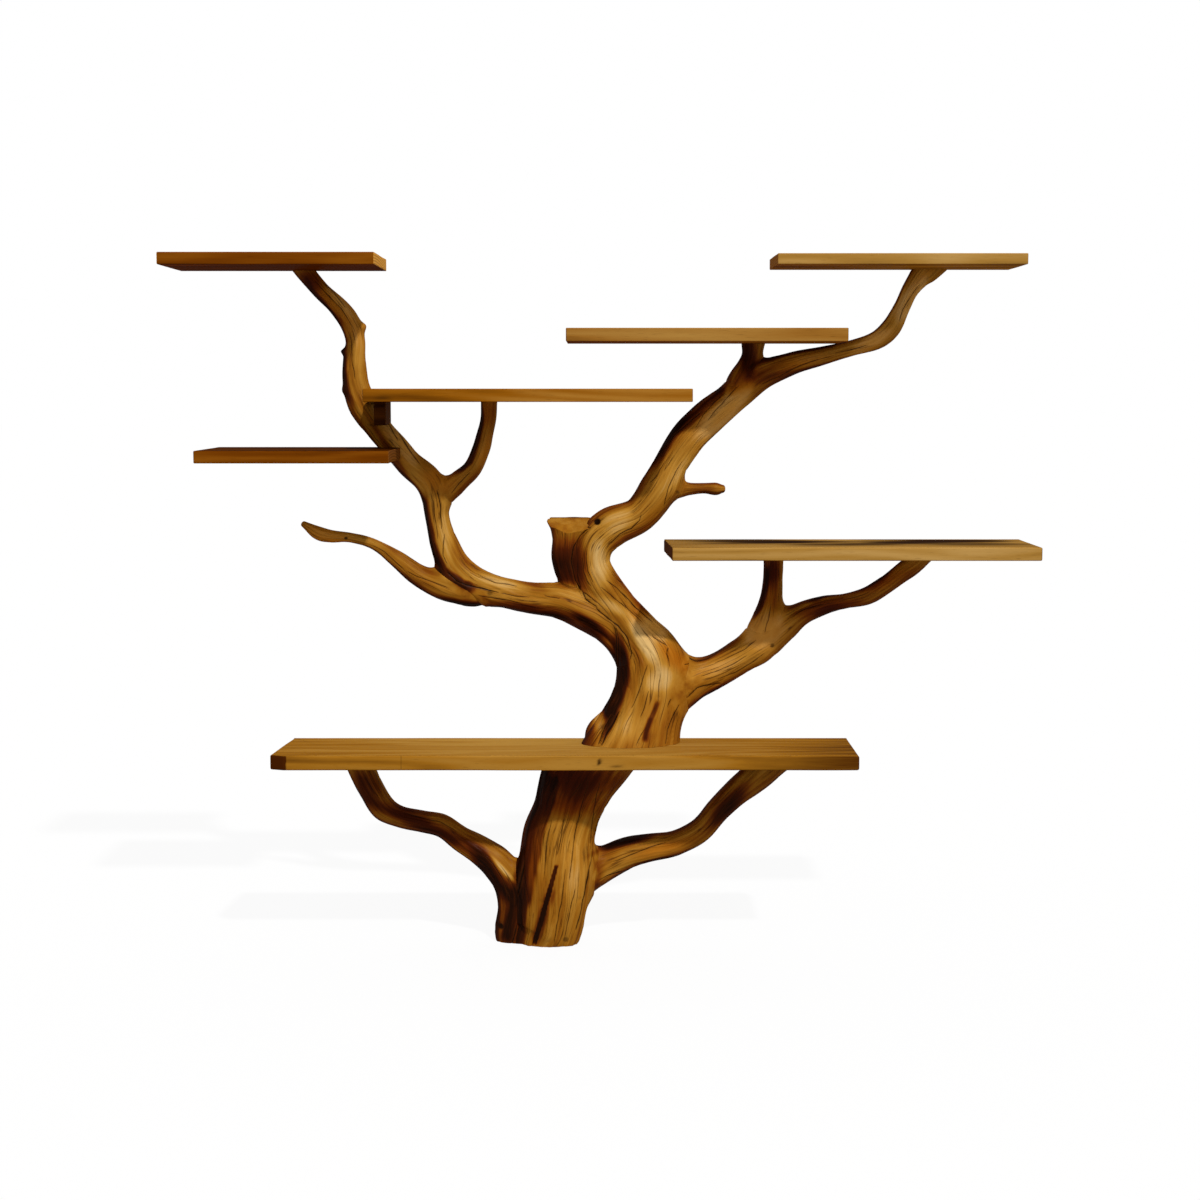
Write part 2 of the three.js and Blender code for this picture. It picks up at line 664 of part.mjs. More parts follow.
/** The dowels where a limb comes out of the side of another, large ones in the heavy limbs. */
function addOutgrowthDowels(group) {
  [
    ['dowel_right_limb', ['trunk_upper', 'right_limb'], rightLimbLine, stemLine],
    ['dowel_brace_right', ['trunk_base', 'brace_right'], rightBraceLine, trunkBaseLine],
  ].forEach(([name, joins, line, parentLine]) => {
    addOutgrowthDowel(group, name, joins, line, parentLine, jointDowelDiameter, jointDowelLength);
  });
  [
    ['dowel_dead_branch', ['left_limb_lower', 'dead_branch'], deadBranchLine, leftLine],
    ['dowel_prop_right', ['right_limb', 'prop_right'], rightPropLine, rightLimbLine],
    ['dowel_prop_middle', ['left_limb_lower', 'prop_middle_left'], middlePropLine, leftLine],
  ].forEach(([name, joins, line, parentLine]) => {
    addOutgrowthDowel(group, name, joins, line, parentLine, smallDowelDiameter, smallDowelLength);
  });
}

/** The upright dowels between the limbs' ends and the planks on them. */
function addSeatDowels(group) {
  [
    ['dowel_shelf_upper_left', 'left_limb_upper', leftLine, upperLeft],
    ['dowel_shelf_middle_left', 'prop_middle_left', middlePropLine, middleLeft],
    ['dowel_shelf_upper_right', 'crown_limb', stemLine, upperRight],
    ['dowel_shelf_right_limb', 'right_limb', rightLimbLine, right],
    ['dowel_shelf_right_prop', 'prop_right', rightPropLine, right],
    ['dowel_shelf_bottom_left', 'brace_left', leftBraceLine, bottom],
    ['dowel_shelf_bottom_right', 'brace_right', rightBraceLine, bottom],
  ].forEach(([name, limb, line, plank]) => addSeatDowel(group, name, limb, line, plank));
}

function addDowels(group) {
  addTrunkRods(group);
  addLengthDowels(group);
  addOutgrowthDowels(group);
  addSeatDowels(group);
  addBraceDowel(group);
  addSideDowel(group);
  addThroughDowel(group);
  addCleatDowel(group);
}

// Hangers

const keyholeReach = keyholeHead / 2 + keyholeTravel + keyholeSlot / 2;
const plateHeight = keyholeReach + 2 * plateRim;
const plateLength = screwSpacing + 2 * plateEnd;

/** A countersunk screw that points away from the wall, its head at the origin. */
function screwSolid(grown = 0) {
  const headRadius = screwHead / 2 + grown;
  const shankRadius = screwShank / 2 + grown;
  const profile = [
    new THREE.Vector2(0, -screwLength - grown),
    new THREE.Vector2(shankRadius, screwTip - screwLength - grown),
    new THREE.Vector2(shankRadius, -plateThickness),
    new THREE.Vector2(headRadius, 0),
    new THREE.Vector2(0, 0),
  ];
  return solidOf(new THREE.LatheGeometry(profile, screwSides));
}

/** Moves a copy of a solid. */
function movedTo(solid, x, y, z) {
  return solidOf(geometryOf(solid).translate(x, y, z));
}

/** The keyhole: a round hole for a screw's head and a slot above it for its neck. */
function keyholePath() {
  const headRadius = keyholeHead / 2;
  const slotRadius = keyholeSlot / 2;
  const headHeight = plateRim + headRadius - plateHeight / 2;
  const meet = Math.acos(slotRadius / headRadius);
  const path = new THREE.Path();
  path.absarc(keyholeAside, headHeight, headRadius, meet, Math.PI - meet, true);
  path.absarc(keyholeAside, headHeight + keyholeTravel, slotRadius, Math.PI, 0, true);
  return path;
}

/** A keyhole plate with its back at the origin, countersunk for its two screws. */
function plateSolid() {
  const outline = new THREE.Shape();
  outline.moveTo(-plateLength / 2, -plateHeight / 2);
  outline.lineTo(plateLength / 2, -plateHeight / 2);
  outline.lineTo(plateLength / 2, plateHeight / 2);
  outline.lineTo(-plateLength / 2, plateHeight / 2);
  outline.holes.push(keyholePath());
  const sheet = { depth: plateThickness, bevelEnabled: false, curveSegments: keyholeFacets };
  const geometry = new THREE.ExtrudeGeometry(outline, sheet);
  geometry.rotateX(Math.PI / 2);
  const hole = screwSolid(seatGap);
  return solidOf(geometry)
    .subtract(movedTo(hole, -screwSpacing / 2, 0, 0))
    .subtract(movedTo(hole, screwSpacing / 2, 0, 0));
}

/** The recess for a plate, with a deeper pocket behind its keyhole. */
function plateRecess(across, height) {
  const halfLength = plateLength / 2 + seatGap;
  const halfHeight = plateHeight / 2 + seatGap;
  const recess = boxBetween(
    new THREE.Vector3(across - halfLength, -plateThickness - seatGap, height - halfHeight),
    new THREE.Vector3(across + halfLength, overrun, height + halfHeight),
  );
  const keyMiddle = across + keyholeAside;
  const pocket = boxBetween(
    new THREE.Vector3(keyMiddle - keyholeHead / 2, -keyPocketDepth, height - keyholeReach / 2),
    new THREE.Vector3(keyMiddle + keyholeHead / 2, overrun, height + keyholeReach / 2),
  );
  return recess.add(pocket);
}

function addHanger(group, name, carrier, across, height) {
  cutFrom(carrier, plateRecess(across, height));
  const hanger = new THREE.Group();
  hanger.position.set(across, 0, height);
  const plate = new THREE.Mesh(geometryOf(plateSolid()), zincSteel());
  plate.name = `hanger_${name}`;
  hanger.add(plate);
  const hole = screwSolid(seatGap);
  [['left', -screwSpacing / 2], ['right', screwSpacing / 2]].forEach(([hand, aside]) => {
    cutFrom(carrier, movedTo(hole, across + aside, 0, height));
    const screw = new THREE.Mesh(geometryOf(screwSolid()), zincSteel());
    screw.name = `screw_${name}_${hand}`;
    screw.position.x = aside;
    hanger.add(screw);
  });
  group.add(hanger);
}

/** Halfway along the free stretch of the middle left plank, from the prop's seat to the crown limb. */
function freeStretchMiddle() {
  const seat = stationAtHeight(middlePropLine, middleLeft.underside, 0, middlePropLine.tip);
  const crossing = stationAtHeight(stemLine, middleLeft.middle, crownStation, stemLine.tip);
  return (measureAt(middlePropLine, seat).middle.x + measureAt(stemLine, crossing).middle.x) / 2;
}

function addHangers(group) {
  const { middle } = measureAt(stemLine, trunkHangerStation);
  addHanger(group, 'trunk', 'trunk_upper', middle.x, middle.z);
  addHanger(group, 'upper_left', upperLeft.name, upperLeft.left + hangerInset, upperLeft.middle);
  addHanger(group, 'middle_left', middleLeft.name, freeStretchMiddle(), middleLeft.middle);
  addHanger(group, 'lower_left', lowerLeft.name, lowerLeft.left + hangerInset, lowerLeft.middle);
  addHanger(group, 'upper_centre', upperCentre.name, upperCentre.left + hangerInset, upperCentre.middle);
  addHanger(group, 'upper_right', upperRight.name, upperRight.left + hangerInset, upperRight.middle);
}

/** Adds a finished piece of wood, placed by the middle of its own box. */
function addWood(group, name, material) {
  const geometry = geometryOf(woods.get(name));
  geometry.computeBoundingBox();
  const middle = geometry.boundingBox.getCenter(new THREE.Vector3());
  geometry.translate(-middle.x, -middle.y, -middle.z);
  const mesh = new THREE.Mesh(geometry, material);
  mesh.name = name;
  mesh.position.copy(middle);
  group.add(mesh);
}

function makeBookshelf() {
  const tree = new THREE.Group();
  makeTree();
  addDowels(tree);
  addHangers(tree);
  const plankNames = planks.map((plank) => plank.name);
  [...woods.keys()].forEach((name) => {
    addWood(tree, name, plankNames.includes(name) ? planedWood() : limbWood());
  });
  const wallFace = measureAt(stemLine, wallFaceStation).middle.setY(0);
  tree.position.copy(wallFace).negate();
  return tree;
}

export default makeBookshelf();
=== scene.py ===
import math

import bpy
import numpy as np
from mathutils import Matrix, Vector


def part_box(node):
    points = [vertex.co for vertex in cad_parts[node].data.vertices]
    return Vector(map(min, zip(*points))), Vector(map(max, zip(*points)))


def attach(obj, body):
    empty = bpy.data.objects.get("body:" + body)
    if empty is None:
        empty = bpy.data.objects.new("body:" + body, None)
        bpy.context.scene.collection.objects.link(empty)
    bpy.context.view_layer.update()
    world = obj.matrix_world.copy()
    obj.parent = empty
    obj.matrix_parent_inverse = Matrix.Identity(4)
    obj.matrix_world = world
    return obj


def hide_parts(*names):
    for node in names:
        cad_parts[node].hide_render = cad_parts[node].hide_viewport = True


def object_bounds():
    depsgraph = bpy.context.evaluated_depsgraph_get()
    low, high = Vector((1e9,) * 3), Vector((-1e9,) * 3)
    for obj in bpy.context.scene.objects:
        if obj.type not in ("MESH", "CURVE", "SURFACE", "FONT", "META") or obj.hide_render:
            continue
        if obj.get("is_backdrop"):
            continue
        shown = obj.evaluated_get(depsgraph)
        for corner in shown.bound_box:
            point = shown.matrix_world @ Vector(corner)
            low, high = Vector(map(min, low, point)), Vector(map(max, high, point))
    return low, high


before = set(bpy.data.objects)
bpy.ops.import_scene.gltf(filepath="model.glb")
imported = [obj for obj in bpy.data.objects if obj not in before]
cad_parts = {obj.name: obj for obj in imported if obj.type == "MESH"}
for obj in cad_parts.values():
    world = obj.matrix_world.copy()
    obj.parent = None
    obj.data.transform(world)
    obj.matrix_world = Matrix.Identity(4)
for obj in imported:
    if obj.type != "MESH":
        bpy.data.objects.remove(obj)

cad_low, cad_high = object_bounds()

# A bookshelf in the shape of a tree. Metres: X along the wall, Y into the wall, Z up.
# The origin lies on the trunk's sawn back, where the trunk is straightest.

# The tree as a whole, and where its foot at the wall lies from the origin
SPREAD = 1.770
HEIGHT = 1.440
GIRTH = 0.180
FOOT_X = -0.10443
FOOT_Z = -0.60768
JOINT_GAP = 0.0003

# Sections of the limbs
TRUNK_DEPTH = 0.78
STUB_DEPTH = 0.6
LIMB_DEPTH = 0.84
BRANCH_DEPTH = 0.9
STAND_OFF = 0.75
FULLNESS = 0.972

# Limb stations, from root to tip: (across, up, girth),
# shares of the tree's spread, of its height and of the trunk's girth
TRUNK_BASE = [
    (-0.067, -0.03, 0.66), (-0.068, -0.008, 0.66), (-0.061, 0.014, 0.76), (-0.056, 0.052, 0.83),
    (-0.0535, 0.09, 0.89), (-0.051, 0.124, 0.91), (-0.049, 0.157, 0.87), (-0.042, 0.187, 0.84),
    (-0.034, 0.217, 0.88), (-0.023, 0.248, 0.93), (-0.007, 0.283, 1.02), (0.006, 0.31, 1.08),
]
STEM = [
    (0.032, 0.271, 1.17), (0.041, 0.297, 1.08), (0.048, 0.322, 0.98), (0.055, 0.351, 0.88),
    (0.06, 0.385, 0.81), (0.059, 0.422, 0.77), (0.042, 0.457, 0.59), (0.018, 0.496, 0.49),
    (-0.002, 0.531, 0.48), (-0.011, 0.56, 0.46), (-0.006, 0.59, 0.48), (0.014, 0.613, 0.48),
    (0.047, 0.632, 0.42), (0.071, 0.669, 0.46), (0.086, 0.708, 0.41), (0.107, 0.747, 0.41),
    (0.135, 0.779, 0.4), (0.164, 0.806, 0.35), (0.192, 0.833, 0.33), (0.226, 0.849, 0.27),
    (0.26, 0.86, 0.22), (0.296, 0.871, 0.19), (0.326, 0.882, 0.22), (0.344, 0.901, 0.24),
    (0.356, 0.929, 0.2), (0.365, 0.953, 0.2), (0.375, 0.971, 0.24), (0.385, 0.985, 0.33),
    (0.397, 1.005, 0.42),
]
LEFT = [
    (0.02, 0.332, 0.33), (0.035, 0.362, 0.36), (0.041, 0.397, 0.39), (0.033, 0.432, 0.42),
    (0.013, 0.465, 0.45), (-0.016, 0.489, 0.46), (-0.048, 0.503, 0.42), (-0.084, 0.508, 0.38),
    (-0.12, 0.517, 0.37), (-0.152, 0.531, 0.38), (-0.175, 0.556, 0.36), (-0.187, 0.59, 0.32),
    (-0.194, 0.625, 0.29), (-0.196, 0.654, 0.33), (-0.205, 0.681, 0.35), (-0.227, 0.705, 0.32),
    (-0.244, 0.729, 0.31), (-0.263, 0.756, 0.32), (-0.28, 0.788, 0.36), (-0.289, 0.818, 0.31),
    (-0.291, 0.852, 0.27), (-0.29, 0.882, 0.23), (-0.296, 0.908, 0.24), (-0.311, 0.933, 0.22),
    (-0.33, 0.955, 0.21), (-0.347, 0.98, 0.23), (-0.36, 1.003, 0.26),
]
DEAD_BRANCH = [
    (-0.132, 0.51, 0.32), (-0.15, 0.513, 0.33), (-0.17, 0.518, 0.33), (-0.191, 0.525, 0.32),
    (-0.217, 0.54, 0.27), (-0.244, 0.565, 0.21), (-0.27, 0.585, 0.13), (-0.297, 0.595, 0.12),
    (-0.321, 0.598, 0.15), (-0.337, 0.603, 0.16), (-0.354, 0.615, 0.07),
]
TWIG = [
    (0.074, 0.674, 0.26), (0.091, 0.667, 0.21), (0.107, 0.667, 0.14), (0.124, 0.668, 0.11),
    (0.138, 0.667, 0.13), (0.146, 0.667, 0.08),
]
STUB = [
    (-0.017, 0.504, 0.42), (-0.026, 0.534, 0.47), (-0.032, 0.566, 0.52), (-0.033, 0.595, 0.49),
    (-0.031, 0.624, 0.65), (-0.03, 0.645, 0.72),
]
BURL = [
    (-0.005, 0.283, 0.26), (-0.002, 0.306, 0.3), (0.007, 0.326, 0.21), (0.02, 0.342, 0.12),
]
RIGHT_LIMB = [
    (0.066, 0.364, 0.5), (0.091, 0.377, 0.52), (0.117, 0.39, 0.47), (0.142, 0.403, 0.42),
    (0.168, 0.421, 0.41), (0.194, 0.441, 0.42), (0.219, 0.464, 0.36), (0.241, 0.483, 0.29),
    (0.267, 0.496, 0.24), (0.294, 0.502, 0.2), (0.32, 0.51, 0.22), (0.342, 0.527, 0.22),
    (0.358, 0.542, 0.23), (0.376, 0.559, 0.25), (0.39, 0.577, 0.26), (0.404, 0.595, 0.28),
]
RIGHT_PROP = [
    (0.187, 0.434, 0.4), (0.196, 0.463, 0.38), (0.203, 0.495, 0.3), (0.206, 0.526, 0.25),
    (0.207, 0.56, 0.24), (0.207, 0.59, 0.26),
]
CENTRE_PROP = [
    (0.153, 0.797, 0.34), (0.166, 0.822, 0.33), (0.175, 0.846, 0.27), (0.179, 0.862, 0.25),
    (0.18, 0.878, 0.28), (0.181, 0.895, 0.3),
]
LEFT_BRACE = [
    (-0.108, -0.023, 0.3), (-0.109, 0.009, 0.37), (-0.106, 0.047, 0.38), (-0.11, 0.083, 0.42),
    (-0.124, 0.11, 0.42), (-0.144, 0.129, 0.37), (-0.167, 0.146, 0.32), (-0.19, 0.166, 0.29),
    (-0.215, 0.173, 0.26), (-0.242, 0.18, 0.26), (-0.262, 0.194, 0.31), (-0.276, 0.221, 0.31),
    (-0.287, 0.25, 0.32), (-0.297, 0.28, 0.33), (-0.306, 0.306, 0.34),
]
RIGHT_BRACE = [
    (-0.039, 0.07, 0.36), (-0.016, 0.092, 0.42), (0.007, 0.111, 0.42), (0.034, 0.126, 0.38),
    (0.063, 0.134, 0.34), (0.093, 0.142, 0.31), (0.121, 0.16, 0.3), (0.143, 0.191, 0.3),
    (0.165, 0.218, 0.33), (0.186, 0.24, 0.38), (0.208, 0.265, 0.4), (0.23, 0.29, 0.43),
]
MIDDLE_PROP = [
    (-0.195, 0.645, 0.28), (-0.182, 0.663, 0.28), (-0.167, 0.68, 0.25), (-0.152, 0.697, 0.22),
    (-0.142, 0.723, 0.2), (-0.137, 0.747, 0.18), (-0.133, 0.77, 0.18), (-0.132, 0.794, 0.19),
    (-0.131, 0.815, 0.2),
]
CROWN_STATION = 12
LEFT_ROOT_STATION = 6
LEFT_SPLICE_STATION = 16.6
STUB_CUT_UP = 0.625
STUB_CUT_TILT = math.radians(22)
FOOT_CUT_UP = -0.006


# Numbers on whole arrays

def smooth(low, high, value):
    """A ramp from 0 at low to 1 at high, level at both ends."""
    share = np.clip((value - low) / (high - low), 0, 1)
    return share * share * (3 - 2 * share)


def lattice(cell, seed):
    """A number from -1 to 1 for each whole-number cell: the cell's three numbers and the seed are
    mixed into one, which is then scrambled."""
    mixed = (
        cell[..., 0] * 374761393 + cell[..., 1] * 668265263 + cell[..., 2] * 1442695041
        + seed * 1274126177
    )
    mixed &= 0xFFFFFFFF
    mixed = ((mixed ^ (mixed >> 15)) * 2246822519) & 0xFFFFFFFF
    mixed = ((mixed ^ (mixed >> 13)) * 1274126177) & 0xFFFFFFFF
    mixed ^= mixed >> 16
    return mixed / 0x7FFFFFFF - 1


def noise(points, seed):
    """Soft noise from -1 to 1: the numbers at a cell's eight corners, blended by quintic ramps."""
    base = np.floor(points).astype(np.int64)
    part = points - base
    ramp = part ** 3 * (part * (part * 6 - 15) + 10)
    total = 0
    for corner in np.ndindex(2, 2, 2):
        weight = np.prod(np.where(corner, ramp, 1 - ramp), axis=-1)
        total = total + weight * lattice(base + corner, seed)
    return total


def unit(vectors):
    """Vectors brought to length 1."""
    return vectors / np.linalg.norm(vectors, axis=-1, keepdims=True)


# Limbs

# The stations that a limb can run on past its ends, how finely its length is measured between two
# stations, and how many balls stand for it there
BEYOND = 2
LOOKS = 24
BALLS = 8

# Points that are measured against a limb at once, and how far off it they need no measuring
BLOCK = 2400
FAR = 0.09


def drawn_in(station):
    """The share of its girth that a branch keeps near its root, from 72% to all of it within a
    station, and how much its skin is sunk there, which fades over a station and a half."""
    return 0.72 + 0.28 * smooth(0, 0.9, station), 0.007 * smooth(1.6, 0.2, station)


class Limb:
    """The line of a limb: a smooth curve through its stations, which carries the girth too.
    A branch is drawn in at its root."""

    def __init__(self, stations, depth, seed, saw=None, branch=False):
        places = np.array(stations) * (SPREAD, HEIGHT, GIRTH) + (FOOT_X, FOOT_Z, 0)
        first = 2 * places[0] - places[1]
        last = 2 * places[-1] - places[-2]
        self.points = np.vstack([first, places, last])
        self.tip = len(places) - 1
        self.depth = depth
        self.seed = seed
        self.look = np.linspace(-BEYOND, self.tip + BEYOND, (self.tip + 2 * BEYOND) * LOOKS + 1)
        place, _ = self.at(self.look)
        steps = np.linalg.norm(np.diff(place[:, :2], axis=0), axis=1)
        run = np.concatenate([[0], np.cumsum(steps)])
        self.run = run - np.interp(0, self.look, run)
        self.perimeter = math.pi * FULLNESS * places[:, 2].mean()
        self.saw = saw
        steps = np.linspace(0, self.tip, self.tip * BALLS + 1)
        middle, half = self.section(steps)[:2]
        self.plain_balls = middle, half
        if branch:
            share, sunk = drawn_in(steps)
            half = half * share - sunk
        self.balls = middle, half

    def at(self, station):
        """Place and slope at stations: the cubic whose slope at a station is half the step between
        the stations on either side, and straight on beyond the ends."""
        station = np.asarray(station, float)
        within = np.clip(station, 0, self.tip)
        start = np.minimum(within.astype(int), self.tip - 1)
        part = (within - start)[..., None]
        before, here, after, beyond = (self.points[start + k] for k in range(4))
        slope_in = (after - before) / 2
        slope_out = (beyond - here) / 2
        cubic = 2 * here - 2 * after + slope_in + slope_out
        square = 3 * after - 3 * here - 2 * slope_in - slope_out
        place = ((cubic * part + square) * part + slope_in) * part + here
        slope = (3 * cubic * part + 2 * square) * part + slope_in
        place = place + slope * (station - within)[..., None] * (1, 1, 0)
        return place, slope

    def length_to(self, station):
        """The length along the limb from its root."""
        return np.interp(station, self.look, self.run)

    def station_at(self, length):
        """The station at a length along the limb."""
        return np.interp(length, self.run, self.look)

    def section(self, station):
        """Middle, half width, half depth and the way across, for stations."""
        place, slope = self.at(station)
        heading = unit(slope[..., :2])
        half = FULLNESS * place[..., 2] / 2
        deep = self.depth * half
        off_wall = STAND_OFF * self.depth * place[..., 2] / 2
        middle = np.stack([place[..., 0], -off_wall, place[..., 1]], -1)
        across = np.stack([heading[..., 1], np.zeros_like(half), -heading[..., 0]], -1)
        return middle, half, deep, across

    def skin(self, station, turn, narrowing=1.0):
        """The plain skin and its outward way: an ellipse across the heading at each station."""
        middle, half, deep, across = self.section(station)
        half = (half * narrowing)[..., None]
        deep = (deep * narrowing)[..., None]
        cos = np.cos(turn)[..., None]
        sin = np.sin(turn)[..., None]
        inward = np.array([0.0, 1.0, 0.0])
        point = middle + across * half * cos + inward * deep * sin
        way = unit(across * cos * deep + inward * sin * half)
        return point, way


def room_outside_balls(points, middle, half, depth):
    """How far points lie outside the nearest of some balls that are all squeezed in depth."""
    away = points[:, None] - middle
    away[..., 1] /= depth
    return (np.sqrt((away ** 2).sum(-1)) - half).min(1)


def room_outside(limb, points):
    """How far points lie outside a limb: the least distance to its sections, each taken as a ball
    that is squeezed in depth as the limb is, or the distance over the saw cut at its end. Places
    that are far from the limb get one metre."""
    middle, half = limb.balls
    least = np.ones(len(points))
    for start in range(0, len(points), BLOCK):
        block = points[start:start + BLOCK]
        gap = np.maximum(np.maximum(block.min(0) - middle, middle - block.max(0)), 0)
        close = np.linalg.norm(gap, axis=1) < half + FAR
        if close.any():
            room = room_outside_balls(block, middle[close], half[close], limb.depth)
            least[start:start + BLOCK] = room
    if limb.saw is not None:
        normal, level = limb.saw
        least = np.maximum(least, points @ normal - level)
    return least


# The stub's saw cut, and the dip in it: depth, where it lies round the stub, and how wide it is
SAW_WAY = np.array([0.0, -math.sin(STUB_CUT_TILT), math.cos(STUB_CUT_TILT)])
STUB_SAW = (SAW_WAY, (STUB_CUT_UP * HEIGHT + FOOT_Z) * math.cos(STUB_CUT_TILT))
STUB_SIDES = 120
STUB_DIP = 0.011
STUB_DIP_TURN = math.radians(257)
STUB_DIP_WIDTH = 0.6


def dipped(level, sides):
    """The level of a cut for each column round a limb, lower where the wood broke away in front."""
    turn = (np.arange(sides) + 0.5) * 2 * math.pi / sides
    return level - STUB_DIP * np.exp(-((turn - STUB_DIP_TURN) / STUB_DIP_WIDTH) ** 2)


TRUNK_BASE_LINE = Limb(TRUNK_BASE, TRUNK_DEPTH, 11)
STEM_LINE = Limb(STEM, TRUNK_DEPTH, 12)
LEFT_LINE = Limb(LEFT, LIMB_DEPTH, 13)
DEAD_BRANCH_LINE = Limb(DEAD_BRANCH, BRANCH_DEPTH, 14, branch=True)
TWIG_LINE = Limb(TWIG, BRANCH_DEPTH, 15, branch=True)
STUB_LINE = Limb(STUB, STUB_DEPTH, 16, STUB_SAW)
BURL_LINE = Limb(BURL, TRUNK_DEPTH, 17)
RIGHT_LIMB_LINE = Limb(RIGHT_LIMB, LIMB_DEPTH, 18)
RIGHT_PROP_LINE = Limb(RIGHT_PROP, BRANCH_DEPTH, 19, branch=True)
CENTRE_PROP_LINE = Limb(CENTRE_PROP, BRANCH_DEPTH, 20, branch=True)
LEFT_BRACE_LINE = Limb(LEFT_BRACE, BRANCH_DEPTH, 21)
RIGHT_BRACE_LINE = Limb(RIGHT_BRACE, BRANCH_DEPTH, 22)
MIDDLE_PROP_LINE = Limb(MIDDLE_PROP, BRANCH_DEPTH, 23, branch=True)

# Limbs that run into one another, the reach over which their skins flow together,
# and how dark the line is where they meet
MEETINGS = [
    (STEM_LINE, LEFT_LINE, 0.012, 0.8), (STEM_LINE, RIGHT_LIMB_LINE, 0.055, 0),
    (STEM_LINE, TWIG_LINE, 0.022, 0), (STEM_LINE, CENTRE_PROP_LINE, 0.02, 0),
    (STEM_LINE, STUB_LINE, 0.014, 0.7), (STEM_LINE, BURL_LINE, 0.008, 0.9),
    (LEFT_LINE, DEAD_BRANCH_LINE, 0.028, 0), (LEFT_LINE, MIDDLE_PROP_LINE, 0.022, 0),
    (LEFT_LINE, STUB_LINE, 0.012, 0.7), (RIGHT_LIMB_LINE, RIGHT_PROP_LINE, 0.03, 0),
    (TRUNK_BASE_LINE, LEFT_BRACE_LINE, 0.03, 0.12), (TRUNK_BASE_LINE, RIGHT_BRACE_LINE, 0.032, 0),
]

# The order in which backs lie on the wall: where two limbs share their back, the later one gives
# way, by a step for each place in this list
BACKS = [
    STEM_LINE, TRUNK_BASE_LINE, LEFT_LINE, RIGHT_LIMB_LINE, STUB_LINE, BURL_LINE, DEAD_BRANCH_LINE,
    MIDDLE_PROP_LINE, RIGHT_PROP_LINE, CENTRE_PROP_LINE, TWIG_LINE, LEFT_BRACE_LINE,
    RIGHT_BRACE_LINE,
]
BACK_STEP = 0.0002

# For each limb the others that it meets, each with the reach and the darkness
NEIGHBOURS = {limb: [] for limb in BACKS}
for one, other, reach, darkness in MEETINGS:
    NEIGHBOURS[one].append((other, reach, darkness))
    NEIGHBOURS[other].append((one, reach, darkness))

# How often the rise of a grown skin is worked out anew, the share of what is missing that it gains
# each time, how steeply the skin dives under another limb, and the most that it rises
GROWING_STEPS = 7
GROWING_SHARE = 0.9
DIVE = 0.8
MOST_RISE = 0.04

# How calm the skin lies where two limbs meet, over what share of their reach it does,
# and how wide the dark line is there
CALM = 0.75
CALM_SHARE = 0.3
LINE_WIDTH = 0.012


def grown_together(limb, points, ways):
    """Lifts a limb's skin where others run into it. The skin goes to where the smooth least of the
    rooms outside all the limbs is zero: least room less a quarter of the reach times the square of
    (1 - difference / reach). Past the line where the other limb is nearer, it dives under that one.
    Gives the lifted points, how far each is past the nearest meeting line, how strongly that line
    shows as a crack, how calm the skin lies there, and how far it is part of a smooth join."""
    lift = np.zeros(len(points))
    past = np.full(len(points), 1.0)
    line = np.zeros(len(points))
    calm = np.ones(len(points))
    joined = np.zeros(len(points))
    near = np.zeros(len(points), bool)
    for other, reach, dark in NEIGHBOURS[limb]:
        room = room_outside(other, points)
        near |= room < reach * 1.2
        if not dark:
            joined = np.maximum(joined, smooth(reach * 0.9, reach * 0.1, room))
    index = np.flatnonzero(near)
    start, way = points[index], ways[index]
    rest = room_outside(limb, start)
    rise = np.zeros(len(index))
    for _ in range(GROWING_STEPS):
        here = start + way * rise[:, None]
        own = room_outside(limb, here) - rest
        level = own.copy()
        nearest = np.full(len(index), np.inf)
        for other, reach, _ in NEIGHBOURS[limb]:
            room = room_outside(other, here)
            overlap = np.clip(1 - np.abs(level - room) / reach, 0, 1)
            level = np.minimum(level, room) - overlap ** 2 * reach / 4
            nearest = np.minimum(nearest, room)
        sink = DIVE * np.maximum(own - nearest, 0)
        rise = np.clip(rise - GROWING_SHARE * (level + sink), 0, MOST_RISE)
    for other, reach, dark in NEIGHBOURS[limb]:
        ahead = own - room_outside(other, here)
        calm[index] *= 1 - CALM * np.exp(-(ahead / (CALM_SHARE * reach)) ** 2)
        shows = dark * np.exp(-(ahead / LINE_WIDTH) ** 2)
        stronger = shows > line[index]
        past[index[stronger]] = ahead[stronger]
        line[index[stronger]] = shows[stronger]
    lift[index] = rise
    return points + ways * lift[:, None], past, line, calm, joined


# The camera's place, lens and sensor, with which the corners of the planks fall on those in the
# photograph. Then, in pixels, the photograph's side, the row at the camera's own height and the
# focal length, and how far the camera is tilted down.
CAMERA_PLACE = (FOOT_X, -4.4, 0.56032)
LENS = 62.4
SENSOR = 36
PHOTO_SIDE = 1200
HORIZON_ROW = 390
FOCAL = PHOTO_SIDE * LENS / SENSOR
TILT = math.atan((PHOTO_SIDE / 2 - HORIZON_ROW) / FOCAL)

# The depths at which the ray through a pixel is looked at, from before the limbs to the wall
RAY_DEPTHS = np.linspace(-0.14, 0, 57)


